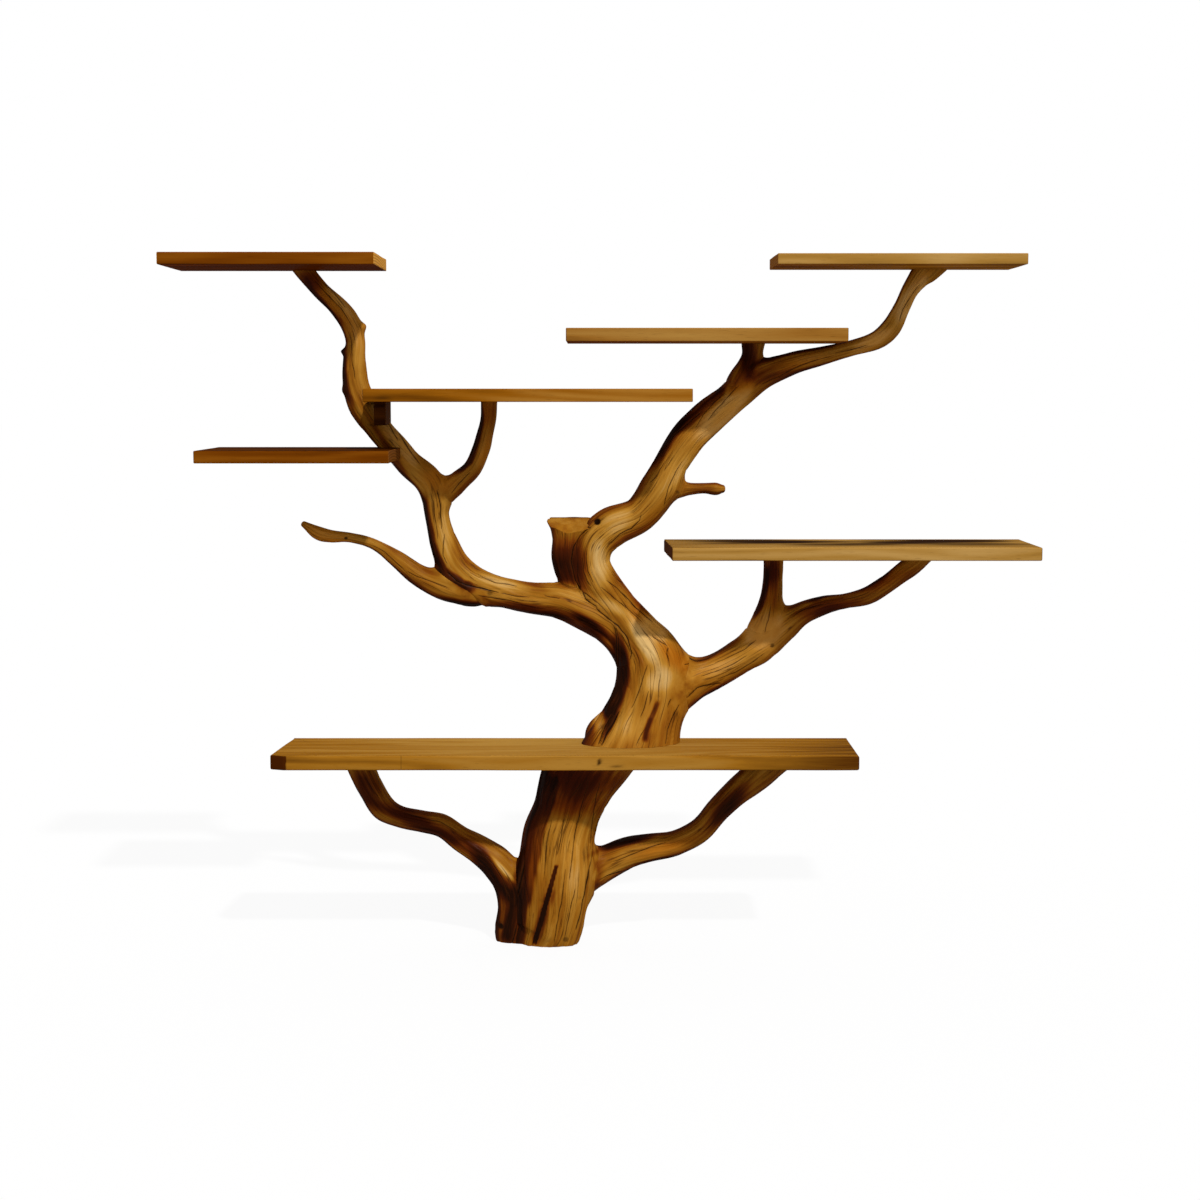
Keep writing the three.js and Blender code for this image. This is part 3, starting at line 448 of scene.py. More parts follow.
def on_skin(pixels):
    """Where pixels of the photograph lie on the limbs, across and up, to a millimetre. The ray
    through a pixel leaves the camera by the pixel's offset over the focal length, turned down by
    the tilt. It is followed to the first depth inside a limb, or the one nearest to a limb."""
    columns, rows = np.array(pixels).T[..., None]
    aside = (columns - PHOTO_SIDE / 2) / FOCAL
    up = (PHOTO_SIDE / 2 - rows) / FOCAL
    x, y, z = CAMERA_PLACE
    far = (RAY_DEPTHS - y) / (math.cos(TILT) + up * math.sin(TILT))
    across = x + far * aside
    height = z + far * (up * math.cos(TILT) - math.sin(TILT))
    points = np.stack([across, np.broadcast_to(RAY_DEPTHS, across.shape), height], -1)
    room = np.min([
        room_outside_balls(points.reshape(-1, 3), *limb.plain_balls, limb.depth) for limb in BACKS
    ], axis=0).reshape(across.shape)
    inside = room < 0
    first = np.where(inside.any(1), inside.argmax(1), room.argmin(1))
    return np.round(points[np.arange(len(points)), first][:, [0, 2]], 3)


# Cracks in the fronts of the limbs, by where they lie: half width, depth, and the pixels passed
CRACK_PIXELS = [
    ("neck, left edge", 0.0014, 0.0022, [(590, 526), (580, 536), (573, 547), (571, 560),
        (575, 580), (586, 598), (600, 609)]),
    ("neck", 0.0008, 0.0008, [(582, 558), (583, 572), (586, 581), (591, 587)]),
    ("neck", 0.0008, 0.0008, [(587, 549), (586, 560), (588, 572), (593, 583)]),
    ("neck, top", 0.0011, 0.0015, [(641, 514), (640, 521), (631, 529), (620, 535), (609, 546)]),
    ("neck streak", 0.0008, 0.0008, [(605, 579), (620, 592), (635, 607), (653, 623)]),
    ("neck streak", 0.0008, 0.0008, [(600, 586), (614, 598), (630, 611), (643, 622)]),
    ("neck streak", 0.0007, 0.0006, [(611, 573), (626, 586), (641, 601), (660, 620)]),
    ("strand", 0.0014, 0.0022, [(586, 598), (600, 612), (618, 626), (628, 640), (631, 654),
        (629, 662)]),
    ("ridge", 0.0008, 0.0010, [(648, 664), (644, 676), (639, 690), (635, 700), (631, 709)]),
    ("ridge", 0.0008, 0.0008, [(649, 690), (646, 701), (644, 709), (640, 718)]),
    ("right", 0.0011, 0.0014, [(677, 703), (673, 717), (668, 731), (666, 746)]),
    ("right", 0.0007, 0.0008, [(645, 728), (640, 737), (636, 747)]),
    ("burl groove", 0.0022, 0.0030, [(619, 712), (612, 725), (605, 736), (600, 747)]),
    ("burl groove", 0.0012, 0.0016, [(612, 715), (605, 728), (597, 746)]),
    ("right top", 0.0010, 0.0012, [(668, 646), (667, 654), (670, 668)]),
    ("right top", 0.0007, 0.0008, [(652, 636), (660, 641), (667, 646)]),
    ("arm top", 0.0012, 0.0014, [(680, 665), (697, 662), (708, 658), (719, 651)]),
    ("arm low", 0.0013, 0.0016, [(685, 696), (697, 687), (708, 685), (722, 683)]),
    ("arm low", 0.0008, 0.0008, [(667, 708), (671, 698)]),
    ("arm", 0.0007, 0.0007, [(700, 676), (715, 672), (733, 664), (748, 655)]),
    ("arm", 0.0007, 0.0007, [(714, 663), (729, 657), (744, 649), (757, 640)]),
    ("arm", 0.0008, 0.0008, [(716, 679), (735, 673), (752, 662), (765, 652)]),
    ("arm", 0.0007, 0.0007, [(764, 634), (768, 620), (771, 604)]),
    ("arm far", 0.0007, 0.0007, [(790, 618), (806, 608), (824, 604)]),
    ("arm far", 0.0006, 0.0006, [(838, 601), (855, 597), (870, 592)]),
    ("left", 0.0008, 0.0010, [(478, 575), (495, 582), (508, 584), (518, 586)]),
    ("left", 0.0008, 0.0008, [(544, 595), (552, 597), (560, 599)]),
    ("left", 0.0007, 0.0007, [(500, 593), (515, 596), (531, 597)]),
    ("left bend", 0.0011, 0.0014, [(437, 489), (440, 503), (441, 520), (442, 530)]),
    ("left bend slit", 0.0015, 0.0020, [(439, 512), (440, 519), (441, 527)]),
    ("left bend", 0.0008, 0.0009, [(445, 533), (443, 545), (443, 555), (448, 565)]),
    ("left bend", 0.0007, 0.0007, [(433, 499), (434, 512), (436, 526), (438, 540)]),
    ("left low", 0.0014, 0.0020, [(446, 571), (456, 580), (468, 585), (484, 589), (500, 593)]),
    ("fork", 0.0008, 0.0008, [(451, 494), (459, 483), (471, 472)]),
    ("dead", 0.0008, 0.0009, [(406, 571), (418, 577), (431, 581), (450, 589)]),
    ("dead", 0.0007, 0.0007, [(372, 545), (385, 552), (396, 562), (405, 571)]),
    ("dead low", 0.0008, 0.0009, [(478, 594), (490, 597), (505, 600), (522, 603)]),
    ("crown", 0.0011, 0.0014, [(703, 410), (694, 417), (684, 426), (675, 434), (666, 446),
        (660, 458)]),
    ("crown", 0.0008, 0.0008, [(665, 461), (659, 470), (655, 477), (649, 483)]),
    ("crown", 0.0008, 0.0010, [(683, 461), (676, 473), (669, 487), (664, 507)]),
    ("crown", 0.0007, 0.0007, [(726, 392), (714, 402), (704, 414), (695, 428)]),
    ("crown", 0.0007, 0.0007, [(740, 385), (727, 398), (716, 410), (707, 422)]),
    ("crown arm", 0.0008, 0.0010, [(836, 355), (816, 360), (795, 368), (777, 377), (760, 385)]),
    ("crown arm", 0.0007, 0.0007, [(868, 345), (850, 350), (835, 353)]),
    ("crown tip", 0.0007, 0.0007, [(899, 322), (903, 309), (911, 296), (920, 284)]),
    ("base", 0.0008, 0.0010, [(564, 819), (562, 829), (560, 842), (557, 856)]),
    ("base", 0.0009, 0.0011, [(590, 774), (586, 791), (580, 813), (575, 836), (572, 860),
        (570, 882)]),
    ("base", 0.0008, 0.0009, [(582, 783), (577, 790), (571, 797)]),
    ("base line", 0.0013, 0.0016, [(592, 853), (589, 868), (586, 881), (581, 905), (575, 931)]),
    ("base", 0.0008, 0.0009, [(575, 888), (571, 908), (567, 926), (564, 943)]),
    ("base", 0.0008, 0.0009, [(566, 868), (562, 898), (557, 924), (554, 945)]),
    ("base", 0.0008, 0.0009, [(552, 819), (547, 842), (544, 871)]),
    ("base left", 0.0014, 0.0020, [(524, 858), (522, 880), (519, 901)]),
    ("base left", 0.0014, 0.0020, [(517, 923), (514, 935), (511, 945)]),
    ("base mid", 0.0007, 0.0008, [(601, 781), (596, 800), (592, 822), (590, 845)]),
    ("base mid", 0.0007, 0.0008, [(556, 783), (552, 800), (549, 818)]),
    ("base right", 0.0012, 0.0014, [(598, 880), (608, 876), (621, 872), (637, 866)]),
    ("brace left", 0.0010, 0.0012, [(481, 852), (493, 864), (503, 879), (509, 897)]),
    ("brace left", 0.0008, 0.0008, [(402, 812), (420, 817), (441, 822), (458, 832)]),
    ("brace left", 0.0007, 0.0007, [(365, 776), (372, 788), (380, 799)]),
    ("brace right", 0.0008, 0.0008, [(612, 862), (630, 855), (650, 847), (668, 842)]),
    ("brace right", 0.0008, 0.0008, [(703, 832), (716, 820), (728, 803), (741, 786)]),
    ("prop left", 0.0007, 0.0007, [(484, 416), (481, 432), (477, 449)]),
    ("upper left", 0.0008, 0.0008, [(315, 280), (327, 294), (341, 308), (351, 324)]),
    ("upper left", 0.0008, 0.0008, [(352, 340), (352, 360), (355, 380)]),
    ("upper left", 0.0007, 0.0007, [(322, 282), (334, 293), (346, 308)]),
    ("left mid", 0.0008, 0.0009, [(384, 412), (396, 430), (409, 449), (421, 465)]),
    ("left mid", 0.0007, 0.0007, [(376, 402), (386, 421), (399, 441)]),
]

# Broad dark bands along the grain, by where they lie: painted shade along the shaded edges of the
# limbs and over the base's left facet, and brown streaks and slits in the wood. Each has a half
# width, softness of its edges, tone, and the pixels passed
SHADE_AND_STREAK_PIXELS = [
    ("crown, dark edge", 0.0080, 0.60, -0.80, [(650, 474), (658, 460), (674, 434), (697, 414),
        (717, 397), (733, 372)]),
    ("crown arm, dark edge", 0.0060, 0.60, -0.70, [(745, 372), (760, 362), (790, 351), (826, 345),
        (850, 338)]),
    ("crown tip, dark edge", 0.0050, 0.60, -0.50, [(866, 336), (882, 320), (892, 305), (902, 286)]),
    ("middle prop, dark edge", 0.0050, 0.60, -0.90, [(482, 403), (481, 425), (478, 440),
        (470, 462), (452, 478)]),
    ("right prop, dark edge", 0.0050, 0.60, -0.80, [(767, 563), (766, 585), (761, 605),
        (750, 622)]),
    ("right arm, dark upper edge", 0.0070, 0.60, -0.80, [(803, 604), (824, 593), (850, 585),
        (870, 576), (890, 560)]),
    ("left top, dark edge", 0.0070, 0.60, -0.80, [(300, 272), (311, 290), (325, 306), (339, 322),
        (345, 340), (343, 370), (347, 395), (360, 412)]),
    ("base slit", 0.0046, 0.15, -1.10, [(557, 864), (552, 881), (547, 900), (541, 920),
        (534, 946)]),
    ("base slit, soft", 0.0090, 0.60, -0.40, [(553, 885), (547, 905), (540, 925), (534, 946)]),
    ("brown streak", 0.0050, 0.50, -0.70, [(659, 699), (655, 710), (650, 720), (646, 732),
        (644, 744)]),
    ("brown streak, low", 0.0070, 0.60, -0.35, [(652, 716), (647, 730), (645, 744)]),
    ("left bend, dark edge", 0.0085, 0.50, -1.00, [(421, 488), (426, 512), (432, 543), (443, 570),
        (463, 584), (484, 590)]),
    ("base, left facet", 0.0220, 0.22, -0.65, [(548, 768), (540, 812), (533, 840), (527, 868),
        (521, 895), (510, 948)]),
]

# Knots and hollows, by where they lie: pixel, radius, height (below zero for a hollow) and darkness
KNOT_PIXELS = [
    ("hole by the stump", (597, 521), 0.0085, -0.0045, 1.00),
    ("crown", (677, 492), 0.0050, 0.0008, 0.50),
    ("prop right", (772, 645), 0.0060, 0.0009, 0.60),
    ("left, dark", (490, 593), 0.0070, -0.0006, 0.45),
    ("dead branch", (346, 538), 0.0045, -0.0008, 0.70),
    ("brace left hollow", (500, 926), 0.0080, -0.0040, 0.80),
    ("base", (586, 779), 0.0050, 0.0008, 0.30),
    ("base, foot", (566, 940), 0.0080, -0.0008, 0.50),
]

# Spurs and shoulders that stand out from a limb's sides, and one crease: place, radius and height
SPURS = [
    (-0.600, 0.692, 0.010, 0.0085), (-0.642, 0.641, 0.007, 0.0080), (-0.641, 0.560, 0.009, 0.0035),
    (-0.203, 0.286, 0.012, 0.008), (-0.137, 0.281, 0.011, -0.009),
]

# Painted highlights and painted shade, with some lighter and darker places of the wood itself, by
# where they lie: pixel, half sizes, turn in degrees, tone from -1 (dark) to 1 (light), and how far
# the wood there is a warmer, deeper brown, mostly the hue given to places in shade
LIGHT_AND_SHADE_PIXELS = [
    ("stub front, in shadow", (568, 565), 0.042, 0.050, 0, -1.15, 0.6),
    ("stem, pale bow", (598, 562), 0.023, 0.056, 8, 0.80, 0.0),
    ("stem, pale bow top", (618, 521), 0.040, 0.024, 30, 0.60, 0.0),
    ("neck, brown", (640, 594), 0.062, 0.018, -46, -0.45, 0.3),
    ("pale ridge, start", (612, 606), 0.034, 0.012, -32, 0.80, 0.0),
    ("pale ridge", (644, 642), 0.060, 0.015, -60, 1.40, 0.0),
    ("neck, shade over the ridge", (645, 617), 0.034, 0.026, -50, -0.10, 1.0),
    ("neck, shade at the right", (672, 656), 0.044, 0.016, -52, 0.10, 1.0),
    ("pale ridge low", (660, 680), 0.026, 0.034, -70, 0.90, 0.0),
    ("strand's underside", (592, 626), 0.046, 0.012, -36, -1.20, 0.8),
    ("under strand", (621, 660), 0.050, 0.015, -78, -1.30, 0.8),
    ("under strand low", (614, 704), 0.044, 0.015, 68, -1.50, 0.0),
    ("beside the burl", (609, 728), 0.030, 0.007, 62, -1.20, 0.0),
    ("left arm's root, lit", (566, 590), 0.050, 0.015, -18, 0.70, 0.0),
    ("left arm's underside", (545, 612), 0.090, 0.010, -12, -0.80, 0.5),
    ("base of the stem", (632, 728), 0.030, 0.034, 0, 0.40, 0.0),
    ("right arm lit", (715, 668), 0.060, 0.016, 20, 0.70, 0.5),
    ("right arm underside", (712, 692), 0.060, 0.010, 24, -0.60, 0.4),
    ("right arm's fork", (765, 630), 0.052, 0.040, 20, 1.00, 1.0),
    ("prop right", (771, 590), 0.018, 0.056, 0, -0.15, 0.9),
    ("right far", (830, 607), 0.070, 0.016, 12, -0.65, 0.9),
    ("right far, end", (884, 582), 0.060, 0.016, 24, -0.20, 0.9),
    ("crown low, pale", (680, 472), 0.055, 0.014, 52, 0.45, 0.0),
    ("crown mid, pale", (726, 412), 0.078, 0.020, 45, 1.50, 1.0),
    ("crown top-left, brown", (664, 440), 0.080, 0.010, 52, -0.70, 0.6),
    ("crown arm", (800, 362), 0.060, 0.012, 15, 0.55, 1.0),
    ("crown arm low", (815, 370), 0.060, 0.009, 12, -0.50, 0.8),
    ("crown tip lit", (912, 298), 0.056, 0.014, 62, 1.50, 0.9),
    ("crown tip, lower", (872, 342), 0.050, 0.014, 30, 1.05, 0.9),
    ("twig", (700, 489), 0.036, 0.008, 0, -0.40, 0.0),
    ("left bend lit", (445, 530), 0.014, 0.060, 6, 0.55, 0.0),
    ("left lower, lit", (500, 581), 0.060, 0.014, -16, 0.70, 0.0),
    ("left lower, underside", (475, 606), 0.080, 0.010, -12, -1.20, 0.0),
    ("left upper", (404, 446), 0.050, 0.014, -58, 0.95, 0.3),
    ("left mid, under the planks", (384, 416), 0.042, 0.014, -52, 1.05, 1.0),
    ("left upper, dark edge", (392, 454), 0.090, 0.008, -58, -0.70, 0.0),
    ("left top", (338, 299), 0.050, 0.009, -50, 0.75, 0.8),
    ("left top, by the plank", (316, 280), 0.034, 0.024, 0, -0.70, 0.8),
    ("left top, whole", (332, 302), 0.100, 0.030, -55, 0.35, 1.0),
    ("left fork", (440, 478), 0.044, 0.034, 0, 0.25, 1.0),
    ("stem, shade of the right plank", (654, 626), 0.034, 0.025, -38, 1.30, 1.0),
    ("middle prop, lit", (485, 452), 0.012, 0.044, -16, 0.55, 0.9),
    ("middle prop, top", (487, 412), 0.016, 0.030, 0, -0.10, 1.0),
    ("crown mid", (710, 415), 0.064, 0.030, 50, 0.50, 0.8),
    ("right prop, top", (774, 570), 0.015, 0.034, 0, -0.75, 1.0),
    ("right far end, dark", (880, 575), 0.030, 0.014, 40, -0.50, 1.0),
    ("crown tip, lit", (902, 305), 0.040, 0.020, 50, 0.35, 0.3),
    ("trunk low, left edge", (598, 728), 0.016, 0.034, 0, 0.35, 0.6),
    ("left, between the planks", (385, 422), 0.056, 0.034, -50, 0.40, 0.9),
    ("dead branch's tip", (326, 537), 0.060, 0.026, -20, 0.50, 1.0),
    ("base, shade above the edge", (573, 806), 0.070, 0.026, 0, -0.35, 1.0),
    ("left, above the fork", (402, 440), 0.060, 0.030, -60, 0.35, 1.0),
    ("left top, lit", (358, 348), 0.012, 0.056, 0, 0.30, 0.0),
    ("dead branch", (360, 536), 0.060, 0.009, -18, 0.20, 0.0),
    ("dead branch, underside", (395, 573), 0.080, 0.010, -30, -0.70, 0.0),
    ("base, under the plank", (578, 780), 0.090, 0.040, 0, -0.80, 0.8),
    ("base, lit", (572, 870), 0.030, 0.090, 4, 0.35, 0.3),
    ("base, left side", (530, 860), 0.022, 0.090, 6, 0.10, 0.6),
    ("base, right side", (598, 900), 0.014, 0.090, 0, -0.40, 0.0),
    ("brace left, pale", (502, 868), 0.034, 0.005, -48, 1.10, 0.0),
    ("brace left, dark", (425, 826), 0.150, 0.016, -24, -0.90, 0.6),
    ("brace left, low dark", (489, 872), 0.060, 0.020, -60, -1.35, 0.6),
    ("brace left, by the base", (510, 892), 0.030, 0.016, -70, -0.90, 0.0),
    ("brace left, top", (366, 786), 0.040, 0.020, -60, -0.90, 0.0),
    ("brace left, foot", (504, 920), 0.026, 0.060, 0, -0.45, 0.0),
    ("brace right, bright", (668, 846), 0.070, 0.012, 16, 0.00, 0.9),
    ("brace right, top", (728, 806), 0.060, 0.020, 50, -1.00, 0.0),
    ("brace right, underside", (655, 862), 0.090, 0.010, 18, -0.80, 0.0),
    ("brace right, upper edge", (622, 842), 0.060, 0.008, 14, -1.00, 0.0),
    ("burl", (600, 724), 0.012, 0.022, -20, 1.10, 0.0),
    ("crown, under the planks", (775, 373), 0.060, 0.016, 20, -0.50, 0.0),
    ("crown, below the centre prop", (744, 386), 0.044, 0.024, 40, -0.30, 1.0),
    ("centre prop", (748, 356), 0.016, 0.044, 0, -1.00, 0.0),
    ("left mid, edge of the block", (378, 398), 0.030, 0.020, 0, -0.50, 0.0),
]


# The marks with their places on the limbs in place of pixels
CRACKS = [(*form, on_skin(path)) for _, *form, path in CRACK_PIXELS]
SHADE_AND_STREAK_BANDS = [(*form, on_skin(path)) for _, *form, path in SHADE_AND_STREAK_PIXELS]
KNOTS = [(*on_skin([pixel])[0], *form) for _, pixel, *form in KNOT_PIXELS]
LIGHT_AND_SHADE_PATCHES = [(*on_skin([pixel])[0], *form) for _, pixel, *form in LIGHT_AND_SHADE_PIXELS]


def along_path(points, path):
    """The distance of points to a path, seen from the front and below zero on its left, and the
    share of the path that has passed there."""
    steps = np.linalg.norm(np.diff(path, axis=0), axis=1)
    total = steps.sum()
    least = np.full(len(points), np.inf)
    side = np.ones(len(points))
    share = np.zeros(len(points))
    passed = 0.0
    for (begin, end, step) in zip(path[:-1], path[1:], steps):
        run = (end - begin) / step
        rel = points[:, [0, 2]] - begin
        foot = np.clip(rel @ run, 0, step)
        away = np.linalg.norm(rel - foot[:, None] * run, axis=1)
        closer = away < least
        least[closer] = away[closer]
        side[closer] = np.sign(run[1] * rel[closer, 0] - run[0] * rel[closer, 1])
        share[closer] = (passed + foot[closer]) / total
        passed += step
    return least * side, share


# The most half widths that a point's kept distance to a crack goes up to, how near a point must be
# to be measured against a crack, how far cracks wander, and the least width of a groove
CRACK_FAR = 8.0
CRACK_REACH = 0.02
CRACK_WANDER = 0.0009
LEAST_GROOVE = 0.0016

# How high the forms along the grain stand on a limb of middling girth, the lumps on every limb,
# and the furrows between strands: depth, and the share of the noise that they take up
FLUTE_HEIGHT = 0.0028
STRAND_HEIGHT = 0.0016
RIDGE_HEIGHT = 0.0006
LUMP_HEIGHT = 0.0012
FURROW_DEPTH = 0.0012
FURROW_SHARE = 0.16


def beside(points, front, path, reach):
    """The points in front that lie near a path, with their distance to it and the share of it
    that has passed there."""
    low, high = path.min(0) - reach, path.max(0) + reach
    near = np.flatnonzero(
        (points[:, 0] > low[0]) & (points[:, 0] < high[0])
        & (points[:, 2] > low[1]) & (points[:, 2] < high[1]) & (front > 0)
    )
    if not len(near):
        return near, None, None
    return near, *along_path(points[near], path)


def weathered(limb, points, ways, station, turn):
    """Flutes along the grain, soft lumps, cracks, knots and spurs, each as a rise of the skin along
    its outward way. Flutes, strands and ridges are noise on a place that winds round the limb. A
    crack is a groove with a round floor, a knot or spur a bell curve. Bands and patches only
    change the tone and the warmth: they are mostly painted shade and painted highlights, besides
    brown streaks and slits in the wood. Gives the rise in two parts, the soft one and the cut one,
    and the marks."""
    girth = limb.section(station)[1] * 2
    run = limb.length_to(station)
    calm = np.clip(girth / 0.09, 0.35, 1.3)
    twist = 0.6 * np.sin(run * 5 + limb.seed)
    wound = np.stack([np.cos(turn + twist), np.sin(turn + twist), run * 0], -1)
    flutes = noise(wound * 2.1 + (3, 7, 0) + run[:, None] * (0, 0, 7), limb.seed)
    strands = noise(wound * 5.5 + run[:, None] * (0, 0, 10), limb.seed + 40)
    ridges = noise(wound * 14 + run[:, None] * (0, 0, 16), limb.seed + 80)
    lumps = noise(points * 22, 5)
    grained = FLUTE_HEIGHT * flutes + STRAND_HEIGHT * strands + RIDGE_HEIGHT * ridges
    soft = calm * grained + LUMP_HEIGHT * lumps
    soft -= calm * FURROW_DEPTH * np.clip(FURROW_SHARE - np.abs(strands), 0, 1) / FURROW_SHARE
    front = smooth(0.05, 0.35, -ways[:, 1])
    cut = np.zeros(len(points))
    dark = np.zeros(len(points))
    crack = np.full(len(points), CRACK_FAR)
    cracked = np.zeros(len(points))
    for half_width, depth, path in CRACKS:
        inside, away, share = beside(points, front, path, CRACK_REACH)
        if not len(inside):
            continue
        away = away + CRACK_WANDER * noise(points[inside] * 60, 77)
        taper = np.sqrt(np.clip(4.2 * share * (1 - share), 0.02, 1))
        width = half_width * taper * (1 + 0.35 * noise(points[inside] * 90, 78))
        mask = smooth(1, 0.55, np.abs(away) / (2 * half_width + 0.004)) * front[inside]
        mask *= smooth(0.0, 0.04, share * (1 - share))
        reach = np.maximum(1.4 * width, LEAST_GROOVE)
        groove = np.clip(1 - (away / reach) ** 2, 0, 1) ** 1.5 * mask
        cut[inside] -= depth * groove
        closer = mask > cracked[inside]
        crack[inside[closer]] = np.clip(away / width, -CRACK_FAR, CRACK_FAR)[closer]
        cracked[inside[closer]] = mask[closer]
    tone = np.zeros(len(points))
    warm = np.zeros(len(points))
    for half_width, softness, level, path in SHADE_AND_STREAK_BANDS:
        inside, away, share = beside(points, front, path, 3 * half_width)
        if len(inside):
            away = np.abs(away) / half_width + 0.2 * noise(points[inside] * (90, 90, 30), 81)
            ends = smooth(0.0, 0.25 * softness, share * (1 - share))
            tone[inside] += level * smooth(1 + softness, 1 - softness, away) * ends * front[inside]
    for x, z, radius, height, darkness in KNOTS:
        away = np.hypot(points[:, 0] - x, points[:, 2] - z) / radius
        cut += height * np.exp(-away ** 2) * front
        dark = np.maximum(dark, darkness * smooth(1.15, 0.55, away) * front)
    for x, z, radius, height in SPURS:
        away = np.hypot(points[:, 0] - x, points[:, 2] - z) / radius
        cut += height * np.exp(-away ** 2)
    # Painted highlights and painted shade, each with the warmer hue given to shade
    for x, z, half_x, half_z, angle, level, warmth_and_shade in LIGHT_AND_SHADE_PATCHES:
        turned = math.radians(angle)
        dx = points[:, 0] - x
        dz = points[:, 2] - z
        first = (dx * math.cos(turned) + dz * math.sin(turned)) / half_x
        second = (dz * math.cos(turned) - dx * math.sin(turned)) / half_z
        inside = np.exp(-(first ** 2 + second ** 2) ** 1.5) * smooth(-0.2, 0.2, -ways[:, 1])
        tone += level * inside
        warm = np.maximum(warm, warmth_and_shade * inside)
    marks = {"dark": dark, "tone": tone, "warm": warm, "crack": crack, "cracked": cracked}
    return soft, cut, marks


# How often a stretch is halved to find where a plane cuts a limb
HALVINGS = 30


def station_at_plane(limb, turn, low, high, normal, level):
    """For each turn round a limb, the station between two others where its skin passes a plane,
    by halving the stretch again and again."""
    low = np.full(len(turn), float(low))
    high = np.full(len(turn), float(high))
    for _ in range(HALVINGS):
        between = (low + high) / 2
        point, _ = limb.skin(between, turn)
        under = point @ normal < level
        low = np.where(under, between, low)
        high = np.where(under, high, between)
    return (low + high) / 2


UP = np.array([0.0, 0.0, 1.0])

# The steps in which a natural tip closes, and the share of its girth at the last ring
TIP_RINGS = 16
TIP_HOLE = 0.08


def limb_surface(limb, start, end, step, sides, foot, top, tip):
    """A grid over a limb: rings from one station to another, each column going from the foot plane,
    if there is one, to the top plane. A natural tip closes like half an ellipsoid."""
    turn = (np.arange(sides) + 0.5) * 2 * math.pi / sides
    first = np.full(sides, float(start))
    last = np.full(sides, float(end))
    if foot is not None:
        normal, level, low, high = foot
        first = station_at_plane(limb, turn, low, high, normal, level)
    if top is not None:
        normal, level, low, high = top
        last = station_at_plane(limb, turn, low, high, normal, level)
    length_first = limb.length_to(first)
    length_last = limb.length_to(last)
    rings = int(np.ceil((length_last - length_first).max() / step)) + 1
    share = np.linspace(0, 1, rings)[:, None]
    lengths = length_first + (length_last - length_first) * share
    stations = limb.station_at(lengths)
    narrowing = np.ones_like(stations)
    if tip:
        half = limb.section(np.array([end]))[1][0]
        closing = math.pi / 2 * np.linspace(0, 1, TIP_RINGS)[1:, None] ** 0.8
        lengths = np.vstack([lengths, lengths[-1:] + 0.9 * half * np.sin(closing)])
        narrowing = np.vstack([narrowing, np.cos(closing) * np.ones(sides)])
        narrowing[-1] = TIP_HOLE
        stations = limb.station_at(lengths)
    turns = np.broadcast_to(turn, stations.shape)
    return stations, turns, narrowing, lengths


# The half width of the crack where two limbs meet, how far the painted shade in the crease beside
# it spreads, and how dark that is
MEETING_CRACK = 0.0014
MEETING_EDGE = 0.005
MEETING_SHADE = 0.35

# How much darker limbs are towards their sides, most of all the left ones, and underneath
SIDE_SHADE = 0.5
UNDER_SHADE = 0.3


def finished_limb(limb, start=0, end=0, step=0.0026, sides=80, foot=None, top=None, tip=False):
    """A limb's grid, grown together with its neighbours, weathered, and cut flat by the wall,
    the foot and the planks. Its root is drawn in, to lie inside the limb that it grows from."""
    stations, turns, narrowing, lengths = limb_surface(
        limb, start, end, step, sides, foot, top, tip,
    )
    shape = stations.shape
    if start == 0 and foot is None:
        narrowing = narrowing * drawn_in(stations)[0]
    points, ways = limb.skin(stations, turns, narrowing)
    points = points.reshape(-1, 3)
    ways = ways.reshape(-1, 3)
    station, turn = stations.ravel(), turns.ravel()
    soft, cut, marks = weathered(limb, points, ways, station, turn)
    grown, past, line, calm, joined = grown_together(limb, points, ways)
    rise = soft * calm + cut
    if start == 0 and foot is None:
        rise = rise - drawn_in(station)[1]
    worn = grown + ways * rise[:, None]
    stronger = line > marks["cracked"]
    broken = line * (0.7 + 0.5 * noise(points * 45, 79))
    marks["crack"] = np.where(stronger, past / MEETING_CRACK, marks["crack"])
    marks["cracked"] = np.where(stronger, broken, marks["cracked"])
    # Painted shade in the crease along the meeting line
    edge = MEETING_SHADE * line * np.exp(-(past / MEETING_EDGE) ** 2)
    marks["dark"] = np.maximum(marks["dark"], edge)
    marks["joined"] = joined
    side = smooth(0.6, 1.0, np.abs(np.cos(turn)))
    turned_left = 0.8 - 0.8 * ways[:, 0]
    under = np.clip(-ways[:, 2], 0, 1)
    marks["tone"] += -SIDE_SHADE * side * (1 - joined) * turned_left - UNDER_SHADE * under ** 1.5
    worn[:, 1] = np.minimum(worn[:, 1], 0)
    back = np.flatnonzero(worn[:, 1] > -BACK_STEP)
    order = BACKS.index(limb)
    for other, reach, _ in NEIGHBOURS[limb]:
        if BACKS.index(other) < order:
            inside = smooth(0.3 * reach + 0.004, 0.25 * reach, room_outside(other, worn[back]))
            worn[back, 1] = np.minimum(worn[back, 1], -inside * BACK_STEP * order)
    worn = worn.reshape(*shape, 3)
    for plane, ring in ((foot, 0), (top, -1)):
        if plane is not None:
            normal, level = plane[:2]
            worn[ring, :, 2] += (level - worn[ring] @ normal) / normal[2]
    grain = np.stack([lengths, turns / (2 * math.pi) * limb.perimeter], -1)
    marks = {label: values.reshape(shape) for label, values in marks.items()}
    if limb.saw is not None:
        worn, grain, marks = sawn_face(worn, grain, marks)
    return worn, grain, limb.perimeter, marks


# What a sawn face is marked with, and the shares of its rim at which its rings lie
SAWN_MARKS = {
    "dark": 0.0, "tone": -0.02, "warm": 0.0, "crack": CRACK_FAR, "cracked": 0.0, "joined": 1.0,
}
SAWN_RINGS = [0.985, 0.8, 0.6, 0.4, 0.2]


